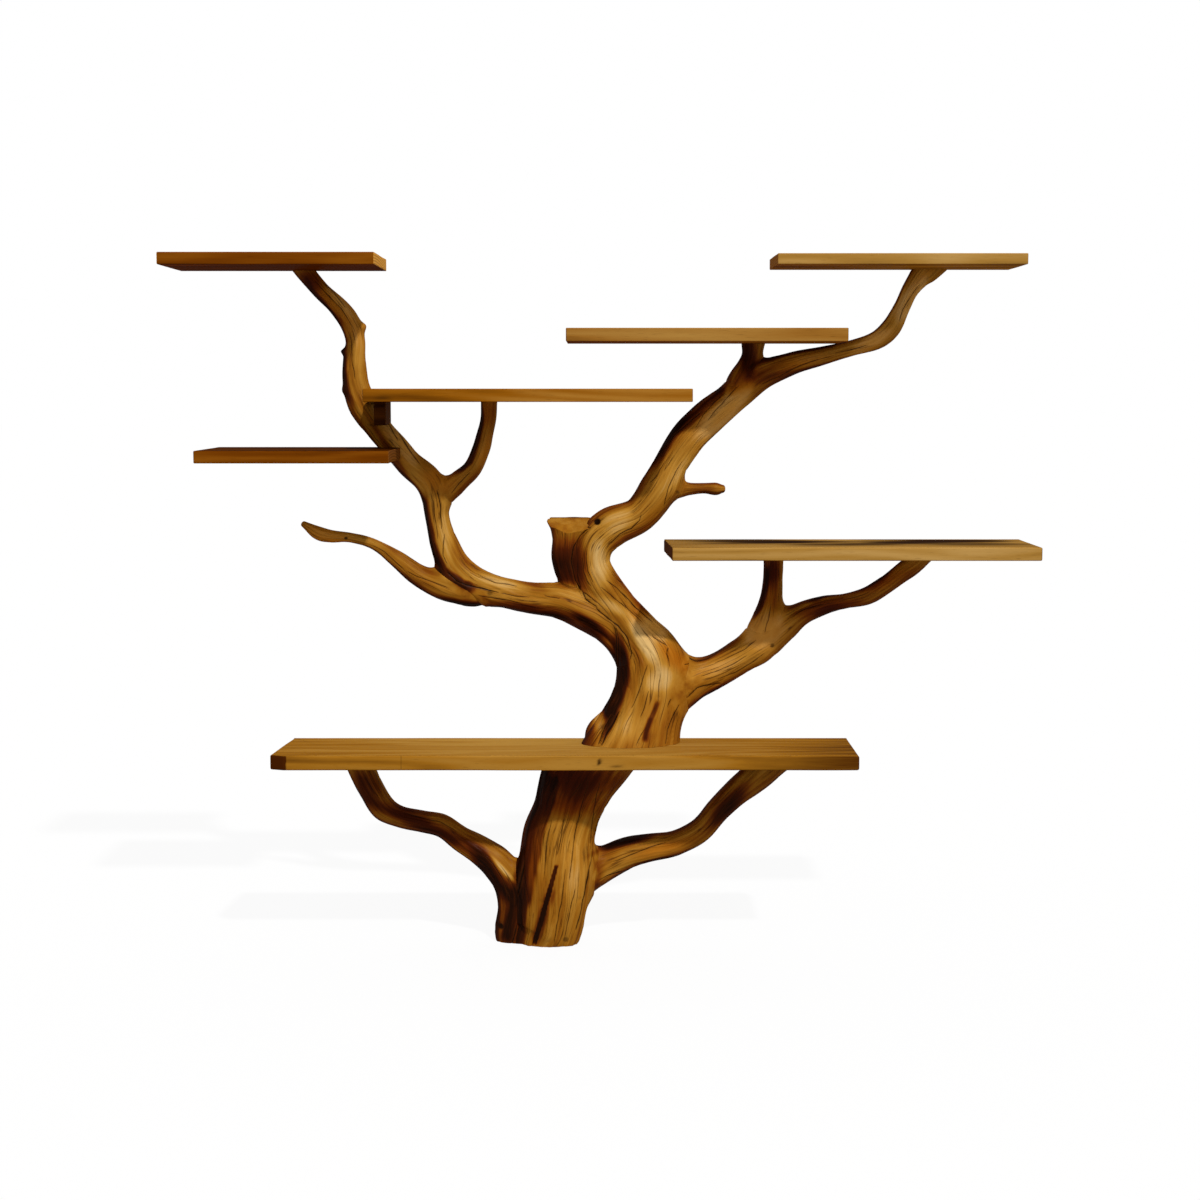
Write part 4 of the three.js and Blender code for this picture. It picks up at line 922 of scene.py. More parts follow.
def sawn_face(rings, grain, marks):
    """Adds rings over a saw cut at a limb's tip, each the rim drawn in towards its middle."""
    middle = rings[-1].mean(0)
    shares = np.array(SAWN_RINGS)[:, None, None]
    rings = np.concatenate([rings, middle + (rings[-1] - middle) * shares])
    grain = np.concatenate([grain, np.repeat(grain[-1:], len(shares), 0)])
    marks = {
        label: np.concatenate([values, np.full((len(shares), values.shape[1]), SAWN_MARKS[label])])
        for label, values in marks.items()
    }
    return rings, grain, marks


# Edges that turn by more than this are shaded as sharp
SHARP = math.radians(50)


def linked(name, data):
    """An object in the scene that shows a mesh, or stands for a light or a camera."""
    thing = bpy.data.objects.new(name, data)
    bpy.context.scene.collection.objects.link(thing)
    return thing


def grid_mesh(name, grids):
    """One mesh from closed grids: each is rings of columns that go round, with a fan over each end.
    The grain places go into a UV map, and each mark into a number that is kept at the points."""
    places, corners, starts, grain = [], [], [], []
    kept = {label: [] for label in grids[0][3]}
    point_total = 0
    loop_total = 0
    for rings, grain_at, perimeter, marks in grids:
        count, sides = rings.shape[:2]
        number = np.arange(count * sides).reshape(count, sides) + point_total
        after = np.roll(number, -1, axis=1)
        quads = np.stack([number[:-1], after[:-1], after[1:], number[1:]], -1).reshape(-1, 4)
        foot_middle = point_total + count * sides
        top_middle = foot_middle + 1
        foot_fan = np.stack([np.full(sides, foot_middle), after[0], number[0]], -1)
        top_fan = np.stack([np.full(sides, top_middle), number[-1], after[-1]], -1)
        places += [rings.reshape(-1, 3), rings[0].mean(0)[None], rings[-1].mean(0)[None]]
        grain_round = np.concatenate([grain_at, grain_at[:, :1] + (0, perimeter)], 1)
        left, right = grain_round[:, :-1], grain_round[:, 1:]
        quad_grain = np.stack([left[:-1], right[:-1], right[1:], left[1:]], 2).reshape(-1, 2)
        flat = rings[:, :, [0, 1]] - rings.mean((0, 1))[[0, 1]]
        foot, top = flat[0], flat[-1]
        foot_grain = np.stack([foot.mean(0) + foot * 0, np.roll(foot, -1, 0), foot], 1)
        top_grain = np.stack([top.mean(0) + top * 0, top, np.roll(top, -1, 0)], 1)
        corners += [quads.ravel(), foot_fan.ravel(), top_fan.ravel()]
        starts += [
            loop_total + 4 * np.arange(len(quads)),
            loop_total + 4 * len(quads) + 3 * np.arange(2 * sides),
        ]
        loop_total += 4 * len(quads) + 6 * sides
        grain += [quad_grain, foot_grain.reshape(-1, 2), top_grain.reshape(-1, 2)]
        for label, values in marks.items():
            kept[label] += [values.ravel(), values[0].mean()[None], values[-1].mean()[None]]
        point_total += count * sides + 2
    mesh = bpy.data.meshes.new(name)
    places = np.concatenate(places)
    corners = np.concatenate(corners)
    starts = np.concatenate(starts)
    mesh.vertices.add(len(places))
    mesh.vertices.foreach_set("co", places.astype(np.float32).ravel())
    mesh.loops.add(len(corners))
    mesh.loops.foreach_set("vertex_index", corners.astype(np.int32))
    mesh.polygons.add(len(starts))
    mesh.polygons.foreach_set("loop_start", starts.astype(np.int32))
    mesh.update(calc_edges=True)
    uv = mesh.uv_layers.new(name="grain")
    uv.uv.foreach_set("vector", np.concatenate(grain).astype(np.float32).ravel())
    for label, values in kept.items():
        attribute = mesh.attributes.new(label, "FLOAT", "POINT")
        attribute.data.foreach_set("value", np.concatenate(values).astype(np.float32))
    mesh.shade_smooth()
    mesh.set_sharp_from_angle(angle=SHARP)
    return linked(name, mesh)


# The planes that cut limbs off at the foot and at the bottom plank
FOOT_CUT = (UP, FOOT_CUT_UP * HEIGHT + FOOT_Z)
BOTTOM_LOW, BOTTOM_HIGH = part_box("shelf_bottom")
OVER_BOTTOM = (UP, BOTTOM_HIGH.z + JOINT_GAP)
UNDER_BOTTOM = (UP, BOTTOM_LOW.z - JOINT_GAP)


def under(node):
    """The plane just under a plank."""
    return UP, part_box(node)[0].z - JOINT_GAP


def ending(limb, plane):
    """A plane that cuts the last stretch of a limb."""
    return (*plane, limb.tip - 3, limb.tip + BEYOND)


# Pieces of limb wood and the stretches that they are made of: the stations from which to which each
# goes, the length between its rings, its sides, whether its tip is a natural one, and the planes
# at its foot and top, each with the stations between which it cuts the limb
LIMB_PIECES = {
    "trunk_base": [
        dict(limb=TRUNK_BASE_LINE, step=0.0022, sides=230,
             foot=(*FOOT_CUT, -1, 3), top=(*UNDER_BOTTOM, 8, 13)),
    ],
    "trunk_upper": [
        dict(limb=STEM_LINE, end=CROWN_STATION, step=0.0024, sides=220,
             foot=(*OVER_BOTTOM, -1.9, 4)),
        dict(limb=LEFT_LINE, end=LEFT_ROOT_STATION, sides=120),
        dict(limb=STUB_LINE, sides=STUB_SIDES,
             top=(SAW_WAY, dipped(STUB_SAW[1], STUB_SIDES), 3, 5.5)),
        dict(limb=BURL_LINE, end=BURL_LINE.tip, step=0.0028, sides=60,
             foot=(*OVER_BOTTOM, -1.9, 2), tip=True),
    ],
    "crown_limb": [
        dict(limb=STEM_LINE, start=CROWN_STATION, sides=130,
             top=ending(STEM_LINE, under("shelf_upper_right"))),
        dict(limb=TWIG_LINE, end=TWIG_LINE.tip, step=0.0024, sides=70, tip=True),
    ],
    "left_limb_lower": [
        dict(limb=LEFT_LINE, start=LEFT_ROOT_STATION, end=LEFT_SPLICE_STATION, sides=124),
    ],
    "left_limb_upper": [
        dict(limb=LEFT_LINE, start=LEFT_SPLICE_STATION, sides=124,
             top=ending(LEFT_LINE, under("shelf_upper_left"))),
    ],
    "dead_branch": [
        dict(limb=DEAD_BRANCH_LINE, end=DEAD_BRANCH_LINE.tip, sides=90, tip=True),
    ],
    "right_limb": [
        dict(limb=RIGHT_LIMB_LINE, sides=120, top=ending(RIGHT_LIMB_LINE, under("shelf_right"))),
    ],
    "brace_left": [
        dict(limb=LEFT_BRACE_LINE, sides=110, foot=(*FOOT_CUT, -1, 3),
             top=ending(LEFT_BRACE_LINE, UNDER_BOTTOM)),
    ],
    "brace_right": [
        dict(limb=RIGHT_BRACE_LINE, sides=110, top=ending(RIGHT_BRACE_LINE, UNDER_BOTTOM)),
    ],
}
for name, limb, plank in (
    ("prop_middle_left", MIDDLE_PROP_LINE, "shelf_middle_left"),
    ("prop_centre", CENTRE_PROP_LINE, "shelf_upper_centre"),
    ("prop_right", RIGHT_PROP_LINE, "shelf_right"),
):
    LIMB_PIECES[name] = [dict(limb=limb, top=ending(limb, under(plank)))]


# Rings over a plank's worn edge and over its top, the step along its outline, how much rounder its
# corners are than its edges, and how much the wall keeps of an edge's wear
EDGE_RINGS = 6
CAP_RINGS = 22
OUTLINE_STEP = 0.007
CORNER_ROUNDING = 1.3
WALL_WEAR = 0.35


def rounded_outline(corners, radius):
    """Places and outward ways round an outline, counter-clockwise from above. Each corner is an arc
    that touches both of its sides."""
    corners = np.array(corners, float)
    heading = unit(np.roll(corners, -1, axis=0) - corners)
    places, ways = [], []
    for number, corner in enumerate(corners):
        before, after = heading[number - 1], heading[number]
        first = math.atan2(-before[0], before[1])
        turned = math.atan2(before[0] * after[1] - before[1] * after[0], before @ after)
        reach = radius * math.tan(turned / 2)
        centre = corner - before * reach + np.array([-before[1], before[0]]) * radius
        angle = first + turned * np.linspace(0, 1, EDGE_RINGS)
        way = np.stack([np.cos(angle), np.sin(angle)], -1)
        places.append(centre + way * radius)
        ways.append(way)
        far = corners[(number + 1) % len(corners)]
        length = np.linalg.norm(far - corner)
        steps = max(int(length / OUTLINE_STEP), 3)
        share = np.linspace(reach, length - reach, steps)[1:-1, None]
        places.append(corner + after * share)
        ways.append(np.broadcast_to(np.array([after[1], -after[0]]), (len(share), 2)))
    return np.concatenate(places), np.concatenate(ways)


def plank_grid(low, high, corners, edge, wear, seed):
    """A plank over an outline: rings go from the middle of its underside over the rounded edges,
    which soft noise wears unevenly and the wall keeps crisp, to the middle of its top."""
    places, ways = rounded_outline(corners, edge * CORNER_ROUNDING)
    inward = 0.45 * (high[1] - low[1])
    spine = np.stack([
        np.clip(places[:, 0], low[0] + inward, high[0] - inward),
        places[:, 1] * 0 + (low[1] + high[1]) / 2,
    ], -1)
    spots = np.stack([places[:, 0] * 11, places[:, 1] * 11, places[:, 0] * 0 + seed], -1)
    worn = np.where(ways[:, 1] > 0.5, WALL_WEAR, 1.0)
    radius = edge * (1 + wear * noise(spots, seed)) * worn
    bend = np.linspace(0, math.pi / 2, EDGE_RINGS)[:, None]
    inset = radius * (1 - np.sin(bend))
    lower = low[2] + radius * (1 - np.cos(bend))
    upper = high[2] - radius * (1 - np.cos(bend[::-1]))
    ramp = np.linspace(0, 1, 5)[1:-1, None]
    levels = np.concatenate([lower, lower[-1] + (upper[0] - lower[-1]) * ramp, upper])
    drawn = np.concatenate([inset, 0 * ramp * radius, inset[::-1]])
    side = places - ways * drawn[..., None]
    sag = noise(np.stack([side[..., 0] * 7, side[..., 1] * 20, levels * 30], -1), seed + 3)
    side = side - ways * (0.0004 * (1 + sag) * smooth(-0.2, 0.4, -ways[:, 1]))[..., None]
    caps = np.linspace(0.04, 0.97, CAP_RINGS)[:, None, None]
    under = spine + (side[0] - spine) * caps
    over = spine + (side[-1] - spine) * caps[::-1]
    flat = np.concatenate([under, side, over])
    heights = np.concatenate([
        np.full(under.shape[:2], low[2]), levels, np.full(over.shape[:2], high[2]),
    ])
    return np.concatenate([flat, heights[..., None]], -1)


# How the tone of each plank changes along it, from its left end to its right one: partly the wood's
# own tone and partly painted light, such as the middle left plank darker towards its left end, and
# the block painted dark as in the shade under its plank
PLANK_TONE_AND_LIGHT = {
    "shelf_upper_left": [0.0, 0.0, 0.15, 0.1],
    "shelf_middle_left": [-0.35, -0.3, 0.1, 0.45, 0.5, 0.4],
    "shelf_lower_left": [0.1, 0.0, 0.0, -0.15],
    "shelf_upper_centre": [-0.1, 0.2, 0.3, 0.1],
    "shelf_upper_right": [0.0, 0.2, 0.3, 0.2],
    "shelf_right": [0.0, 0.1, 0.2, 0.25, 0.0],
    "shelf_bottom": [-0.4, -0.1, 0.3, 0.45, 0.3, -0.2, -0.9],
    "cleat_middle_left": [-0.9, -0.9],
}

# Painted light and painted shade on the planks: how much lighter or darker the tops of some planks
# are, and how much darker the undersides of all are, as in shade
TOP_LIGHT_AND_SHADE = {"shelf_lower_left": -0.9, "shelf_right": -0.2, "shelf_bottom": 0.35}
UNDERSIDE_SHADE = -0.5

# How near its top or underside a point of a plank counts as part of it
FACE_DEPTH = 0.0008

# Dark spots on the planks: plank, place, half sizes and darkness
DARK_SPOTS = [
    ("shelf_right", (0.26, -0.075, 0.2455), (0.19, 0.080, 0.003), 0.95),
    ("shelf_right", (0.36, -0.150, 0.2455), (0.15, 0.045, 0.003), 0.8),
    ("shelf_right", (0.13, -0.02, 0.2455), (0.13, 0.02, 0.003), 0.6),
    ("shelf_right", (0.60, -0.065, 0.2455), (0.20, 0.075, 0.003), 0.95),
    ("shelf_right", (0.66, -0.130, 0.2455), (0.14, 0.050, 0.003), 0.7),
    ("shelf_right", (0.50, -0.012, 0.2455), (0.10, 0.016, 0.003), 0.6),
    ("shelf_bottom", (-0.105, -0.222, -0.195), (0.006, 0.006, 0.007), 0.95),
    ("shelf_bottom", (-0.07, -0.222, -0.2025), (0.022, 0.004, 0.0035), 0.6),
    ("shelf_bottom", (-0.02, -0.222, -0.2035), (0.014, 0.004, 0.0025), 0.45),
    ("shelf_middle_left", (-0.536, -0.23, 0.5464), (0.026, 0.006, 0.004), 0.75),
    ("shelf_middle_left", (-0.475, -0.23, 0.541), (0.030, 0.006, 0.002), 0.4),
]

# How far the left ends of the right plank and of the bottom one run askew, the corner that is
# clipped off the bottom plank at its left front, and the painted shade that darkens that cut
RIGHT_SKEW = 0.009
BOTTOM_SKEW = 0.018
BOTTOM_CLIP = (0.028, 0.012)
CLIP_SHADE = -2.2

# A line across the front of the bottom plank: place along it and half width
SEAM = (-0.5094, 0.0006)


def plank_marks(node, points):
    """The tone along a plank, partly painted light, with painted shade on its underside, its
    clipped corner and some tops, its dark spots and the line across its front. A spot fades with
    the distance from its place in its half sizes, made uneven by two scales of noise."""
    low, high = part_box(node)
    share = (points[..., 0] - low[0]) / (high[0] - low[0])
    levels = PLANK_TONE_AND_LIGHT[node]
    tone = np.interp(share, np.linspace(0, 1, len(levels)), levels)
    below = 1.0 * (points[..., 2] < low[2] + FACE_DEPTH)
    tone = tone + TOP_LIGHT_AND_SHADE.get(node, 0.0) * (points[..., 2] > high[2] - FACE_DEPTH)
    tone = tone + UNDERSIDE_SHADE * below
    dark = np.zeros(share.shape)
    crack = np.full(share.shape, CRACK_FAR)
    cracked = np.zeros(share.shape)
    for plank, place, sizes, level in DARK_SPOTS:
        if plank == node:
            away = np.linalg.norm((points - place) / sizes, axis=-1)
            away = away + 0.45 * noise(points * (6, 60, 60), 91)
            away = away + 0.2 * noise(points * (14, 170, 170), 93)
            dark = np.maximum(dark, level * smooth(1.4, 0.3, away))
    if node == "shelf_bottom":
        # Painted shade on the corner clipped off at the left front
        along, across = BOTTOM_CLIP
        from_end = points[..., 0] - low[0]
        from_front = points[..., 1] - low[1]
        inward = (from_end * across + (from_front - across) * along) / math.hypot(across, along)
        tone = tone + CLIP_SHADE * smooth(0.0026, 0.0012, inward)
        x, half_width = SEAM
        away = points[..., 0] - x + 0.0006 * noise(points * 80, 92)
        near = smooth(0.03, 0.015, np.abs(away)) * (points[..., 1] < low[1] + 0.006)
        crack = np.where(near > 0, away / half_width, crack)
        cracked = np.maximum(cracked, near)
    return {"dark": dark, "tone": tone, "warm": below, "crack": crack, "cracked": cracked}


# Recesses in the backs for the wall plates: half sizes and depth. The pocket behind a keyhole: how
# far aside of the plate's middle, half sizes and depth. Then how far a cut goes into the wall, and
# how near the wall a limb's points count as on it.
RECESS = (0.0283, 0.0078, 0.0023)
POCKET = (0.009, 0.00425, 0.0055, 0.009)
OPEN = 0.01
NEAR_WALL = 0.002
HANGERS = {
    "trunk_upper": "trunk", "shelf_upper_left": "upper_left", "shelf_middle_left": "middle_left",
    "shelf_lower_left": "lower_left", "shelf_upper_centre": "upper_centre",
    "shelf_upper_right": "upper_right",
}


def box_mesh(name, low, high):
    """A plain box that is only used to cut with."""
    ends = np.array([low, high])
    pick = np.array([(a, b, c) for c in (0, 1) for b in (0, 1) for a in (0, 1)])
    faces = [(0, 2, 3, 1), (4, 5, 7, 6), (0, 1, 5, 4), (1, 3, 7, 5), (3, 2, 6, 7), (2, 0, 4, 6)]
    mesh = bpy.data.meshes.new(name)
    mesh.from_pydata(np.take_along_axis(ends, pick, 0).tolist(), [], faces)
    return linked(name, mesh)


def limb_space(name, stretches):
    """What a limb takes up, a joint's gap fuller all round and open to the wall."""
    rings = np.concatenate([stretches[0][0]] + [stretch[0][1:] for stretch in stretches[1:]])
    middle = rings.mean(1, keepdims=True)
    rings = rings + unit(rings - middle) * JOINT_GAP
    rings[..., 1] = np.where(rings[..., 1] > -NEAR_WALL, OPEN, rings[..., 1])
    grain = np.zeros((*rings.shape[:2], 2))
    blank = {label: np.zeros(rings.shape[:2]) for label in stretches[0][3]}
    return grid_mesh(name, [(rings, grain, 0.0, blank)])


def carved(piece, cutters):
    """Takes the cutters out of a piece, and then the cutters themselves away."""
    for cutter in cutters:
        modifier = piece.modifiers.new(cutter.name, "BOOLEAN")
        modifier.operation = "DIFFERENCE"
        modifier.solver = "MANIFOLD"
        modifier.object = cutter
    depsgraph = bpy.context.evaluated_depsgraph_get()
    mesh = bpy.data.meshes.new_from_object(piece.evaluated_get(depsgraph))
    piece.modifiers.clear()
    plain, piece.data = piece.data, mesh
    mesh.materials.clear()
    bpy.data.meshes.remove(plain)
    for cutter in cutters:
        cut_mesh = cutter.data
        bpy.data.objects.remove(cutter)
        bpy.data.meshes.remove(cut_mesh)
    mesh.set_sharp_from_angle(angle=SHARP)


def hanger_cutters(node):
    """The boxes that a wall plate's recess and pocket take out of a piece's back."""
    if node not in HANGERS:
        return []
    low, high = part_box("hanger_" + HANGERS[node])
    middle, z = (low[0] + high[0]) / 2, (low[2] + high[2]) / 2
    aside, *pocket = POCKET
    return [
        box_mesh(name, (x - half_x, -depth, z - half_z), (x + half_x, OPEN, z + half_z))
        for name, x, (half_x, half_z, depth) in (
            ("recess", middle, RECESS), ("pocket", middle + aside, pocket),
        )
    ]


# Finishes

def rgb(*colour):
    """A colour on the 0 to 255 scale as linear light."""
    shares = [level / 255 for level in colour]
    return (*(c / 12.92 if c <= 0.04045 else ((c + 0.055) / 1.055) ** 2.4 for c in shares), 1.0)


class Wire:
    """A socket on which sums are written as on numbers."""

    def __init__(self, nodes, socket):
        self.nodes = nodes
        self.socket = socket

    def _with(self, operation, first, second):
        return self.nodes.node("ShaderNodeMath", {"operation": operation}, {0: first, 1: second})

    def __add__(self, other):
        return self._with("ADD", self, other)

    def __sub__(self, other):
        return self._with("SUBTRACT", self, other)

    def __rsub__(self, other):
        return self._with("SUBTRACT", other, self)

    def __mul__(self, other):
        return self._with("MULTIPLY", self, other)

    __radd__ = __add__
    __rmul__ = __mul__


class Nodes:
    """A node tree that is built up node by node."""

    def __init__(self, owner):
        owner.use_nodes = True
        self.tree = owner.node_tree

    def node(self, kind, settings, inputs, output=0):
        """Adds a node with its settings and its sockets' values or links, and gives one output."""
        node = self.tree.nodes.new(kind)
        for key, value in settings.items():
            if key == "stops":
                ramp = node.color_ramp
                while len(ramp.elements) < len(value):
                    ramp.elements.new(1)
                for element, (place, colour) in zip(ramp.elements, value):
                    element.position = place
                    element.color = colour
            else:
                setattr(node, key, value)
        for key, value in inputs.items():
            if isinstance(value, Wire):
                self.tree.links.new(value.socket, node.inputs[key])
            else:
                node.inputs[key].default_value = value
        return Wire(self, node.outputs[output])

    def feed(self, wire, node, socket):
        """Wires a value into a socket of a node that is there from the start."""
        self.tree.links.new(wire.socket, self.tree.nodes[node].inputs[socket])

    def seen(self):
        """One for rays that show a thing as it is, in the picture or in a polished surface."""
        total, *others = (
            self.node("ShaderNodeLightPath", {}, {}, ray)
            for ray in ("Is Camera Ray", "Is Glossy Ray", "Is Transmission Ray")
        )
        for ray in others:
            total = self.node("ShaderNodeMath", {"operation": "MAXIMUM"}, {0: total, 1: ray})
        return total


class Finish(Nodes):
    """A material whose surface is the Principled shader."""

    def __init__(self, name):
        self.material = bpy.data.materials.new(name)
        super().__init__(self.material)
        self.shader = self.tree.nodes["Principled BSDF"]

    def mix(self, first, second, share, blend="MIX"):
        """Two colours mixed."""
        return self.node(
            "ShaderNodeMix", {"data_type": "RGBA", "blend_type": blend, "clamp_factor": True},
            {0: share, 6: first, 7: second}, 2,
        )

    def ramp(self, value, *stops):
        """A colour for a number."""
        return self.node("ShaderNodeValToRGB", {"stops": stops}, {0: value})

    def band(self, value, low, high):
        """A number taken from low..high to 0..1, eased and kept within."""
        return self.node(
            "ShaderNodeMapRange", {"interpolation_type": "SMOOTHSTEP"},
            {0: value, 1: low, 2: high, 3: 0.0, 4: 1.0},
        )

    def cloud(self, place, scale, detail=2.0, roughness=0.5):
        """Soft noise from 0 to 1."""
        sockets = {"Vector": place, "Scale": scale, "Detail": detail, "Roughness": roughness}
        return self.node("ShaderNodeTexNoise", {}, sockets)

    def stretched(self, place, scale, at=(0, 0, 0)):
        """Places scaled along each axis."""
        return self.node("ShaderNodeMapping", {}, {"Vector": place, "Scale": scale, "Location": at})

    def wandering(self, place, scale, detail, reach, onto):
        """Places moved by soft noise, by up to a reach along each axis."""
        noise = self.node(
            "ShaderNodeTexNoise", {}, {"Vector": place, "Scale": scale, "Detail": detail}, "Color",
        )
        return self.node(
            "ShaderNodeVectorMath", {"operation": "MULTIPLY_ADD"}, {0: noise, 1: reach, 2: onto},
        )

    def rings(self, place, scale, **sockets):
        """Growth rings round the X axis, from 0 to 1."""
        return self.node(
            "ShaderNodeTexWave", {"wave_type": "RINGS", "rings_direction": "X"},
            {"Vector": place, "Scale": scale, **sockets}, "Fac",
        )

    def size(self, value):
        """A number without its sign."""
        return self.node("ShaderNodeMath", {"operation": "ABSOLUTE"}, {0: value})

    def attribute(self, name):
        """A number kept at the points of the mesh."""
        return self.node("ShaderNodeAttribute", {"attribute_name": name}, {}, "Fac")

    def oiled(self, weight, roughness):
        """Bare wood that mirrors nothing, under a thin coat of oil."""
        self.shader.inputs["Specular IOR Level"].default_value = 0.0
        self.shader.inputs["Coat Weight"].default_value = weight
        self.shader.inputs["Coat Roughness"].default_value = roughness

    def finish(self, colour, roughness, height, strength, distance):
        """Wires the colour, the roughness and the height of the surface to the shader."""
        bump = self.node(
            "ShaderNodeBump", {}, {"Strength": strength, "Distance": distance, "Height": height},
        )
        for wire, socket in ((colour, "Base Color"), (roughness, "Roughness"), (bump, "Normal")):
            self.feed(wire, "Principled BSDF", socket)
        return self.material


# What a warmer, deeper brown keeps of the red, green and blue of the wood: mostly painted shade,
# the hue given to places in shade and to plank undersides, and some warmer places of the wood
WARM_AND_SHADE_TINT = (1.0, 0.73, 0.33, 1.0)

# How strongly the oil on the wood mirrors its surroundings
LIMB_COAT = 0.05
PLANK_COAT = 0.015


def limb_wood():
    """Peeled driftwood: long fibres and dark hairline cracks that follow the limb, under satin oil,
    with painted highlights where the tone is raised and painted shade that darkens it towards its
    sides and underneath and gives shaded places a warmer, deeper brown. Where limbs have grown into
    one another the fibres give way to a soft pattern that both share. The larger cracks lie where
    the kept distance to them, in their half widths, is below one."""
    f = Finish("limb_wood")
    grain = f.node("ShaderNodeUVMap", {"uv_map": "grain"}, {})
    place = f.node("ShaderNodeTexCoord", {}, {}, "Object")
    drift = f.cloud(place, 14.0, 2.0)
    drifted = f.wandering(place, 9.0, 1.0, (0.0, 0.012, 0.0), grain)
    fibre = f.cloud(f.stretched(drifted, (22.0, 620.0, 1.0)), 1.0, 3.0, 0.6)
    streak = f.cloud(f.stretched(drifted, (6.0, 95.0, 1.0), (3.0, 1.0, 0.0)), 1.0, 3.0, 0.55)
    broad = f.cloud(f.stretched(drifted, (3.5, 26.0, 1.0), (7.0, 2.0, 0.0)), 1.0, 2.0)
    vein = f.cloud(f.stretched(drifted, (4.0, 110.0, 1.0), (1.0, 9.0, 0.0)), 1.0, 2.0, 0.5)
    vein_here = f.cloud(f.stretched(drifted, (9.0, 34.0, 1.0), (5.0, 5.0, 0.0)), 1.0, 1.0)
    knit = f.cloud(place, 34.0, 3.0, 0.55)
    apart = 1.0 - f.band(f.attribute("joined"), 0.3, 0.95)
    fibre = fibre * apart + (1.0 - apart) * 0.5
    dark = f.attribute("dark")
    # The tone holds painted highlights and painted shade as well as the wood's own lighter and
    # darker places
    tone = f.attribute("tone")
    own = streak * 0.36 + broad * 0.24
    level = own * apart + (knit * 0.4 + 0.1) * (1.0 - apart) + drift * 0.18 + 0.11 + tone * 0.32
    wood = f.ramp(
        level,
        (0.10, rgb(30, 10, 2)), (0.26, rgb(72, 27, 4)), (0.38, rgb(116, 58, 9)),
        (0.49, rgb(152, 97, 22)), (0.62, rgb(180, 128, 46)), (0.86, rgb(210, 172, 108)),
    )
    # Painted shade: a warmer, deeper brown where the limbs lie in shade, and on some warmer places
    # of the wood
    wood = f.mix(wood, WARM_AND_SHADE_TINT, f.attribute("warm"), "MULTIPLY")
    hairline = 1.0 - f.band(f.size(vein - 0.5), 0.0, 0.026)
    hairline = hairline * f.band(vein_here, 0.42, 0.56) * apart
    away = f.size(f.attribute("crack"))
    cracked = f.attribute("cracked")
    split = (1.0 - f.band(away, 0.35, 1.0)) * f.band(cracked, 0.05, 1.0)
    halo = (1.0 - f.band(away, 0.8, 3.5)) * f.band(cracked, 0.2, 1.0)
    wood = f.mix(wood, rgb(76, 32, 6), f.band(fibre, 0.54, 0.76) * 0.5)
    wood = f.mix(wood, rgb(60, 24, 4), hairline * 0.75)
    wood = f.mix(wood, rgb(80, 38, 8), halo * 0.4)
    wood = f.mix(wood, rgb(24, 9, 2), split * 0.92)
    wood = f.mix(wood, rgb(24, 9, 2), f.band(dark, 0.05, 0.9))
    roughness = 0.46 + fibre * 0.22 + dark * 0.3
    height = fibre * 0.5 + streak * 0.8 - hairline * 0.8 - split * 1.6
    f.oiled(LIMB_COAT, 0.38)
    return f.finish(wood, roughness, height, 0.5, 0.0012)


def planed_wood(name, deep, middle, pale, end, seed):
    """A planed plank: growth rings cut lengthwise, fine fibres along it, darker pores, and end
    grain where it faces along the plank. The seed moves the pattern to another part of the log."""
    f = Finish(name)
    place = f.node("ShaderNodeTexCoord", {}, {}, "Object")
    at = (seed * 1.7, seed * 0.9, seed * 2.3)
    log = f.stretched(place, (0.12, 1.0, 1.0), (0.0, 0.13, 0.31))
    bent = f.wandering(f.stretched(place, (0.9, 9.0, 9.0), at), 1.0, 2.0, (0.0, 0.35, 0.35), log)
    rings = f.rings(bent, 9.0, **{"Distortion": 1.2, "Detail": 2.0, "Detail Scale": 1.5})
    fibre = f.cloud(f.stretched(place, (14.0, 420.0, 420.0), at), 1.0, 3.0, 0.6)
    patch = f.cloud(f.stretched(place, (2.2, 26.0, 26.0), at), 1.0, 3.0, 0.55)
    pores = f.cloud(f.stretched(place, (38.0, 900.0, 900.0), at), 1.0, 1.0)
    # The tone holds painted light and painted shade on the plank's faces as well as its own tone
    tone = f.attribute("tone")
    level = rings * 0.16 + patch * 0.5 + fibre * 0.14 + 0.1 + tone * 0.34
    wood = f.ramp(level, (0.12, deep), (0.48, middle), (0.82, pale))
    # Painted shade: the undersides turn a warmer, deeper brown
    wood = f.mix(wood, WARM_AND_SHADE_TINT, f.attribute("warm"), "MULTIPLY")
    wood = f.mix(wood, deep, f.band(pores, 0.62, 0.78) * 0.4)
    normal = f.node("ShaderNodeNewGeometry", {}, {}, "Normal")
    across = f.band(f.size(f.node("ShaderNodeSeparateXYZ", {}, {0: normal}, 0)), 0.45, 0.8)
    growth = f.rings(f.stretched(place, (0.0, 1.0, 1.0), (0.0, 0.2, 0.45)), 55.0, Distortion=2.0)
    wood = f.mix(wood, f.mix(end, deep, growth * 0.45), across)
    split = 1.0 - f.band(f.size(f.attribute("crack")), 0.35, 1.0)
    split = split * f.band(f.attribute("cracked"), 0.2, 0.6)
    dark_spot = f.band(f.attribute("dark"), 0.0, 1.0)
    wood = f.mix(wood, rgb(30, 12, 3), split * 0.75)
    wood = f.mix(wood, rgb(38, 16, 4), dark_spot)
    roughness = 0.42 + fibre * 0.2 + across * 0.2
    f.oiled(PLANK_COAT, 0.3)
    return f.finish(wood, roughness, fibre * 0.6 + rings * 0.2 - split, 0.3, 0.0006)


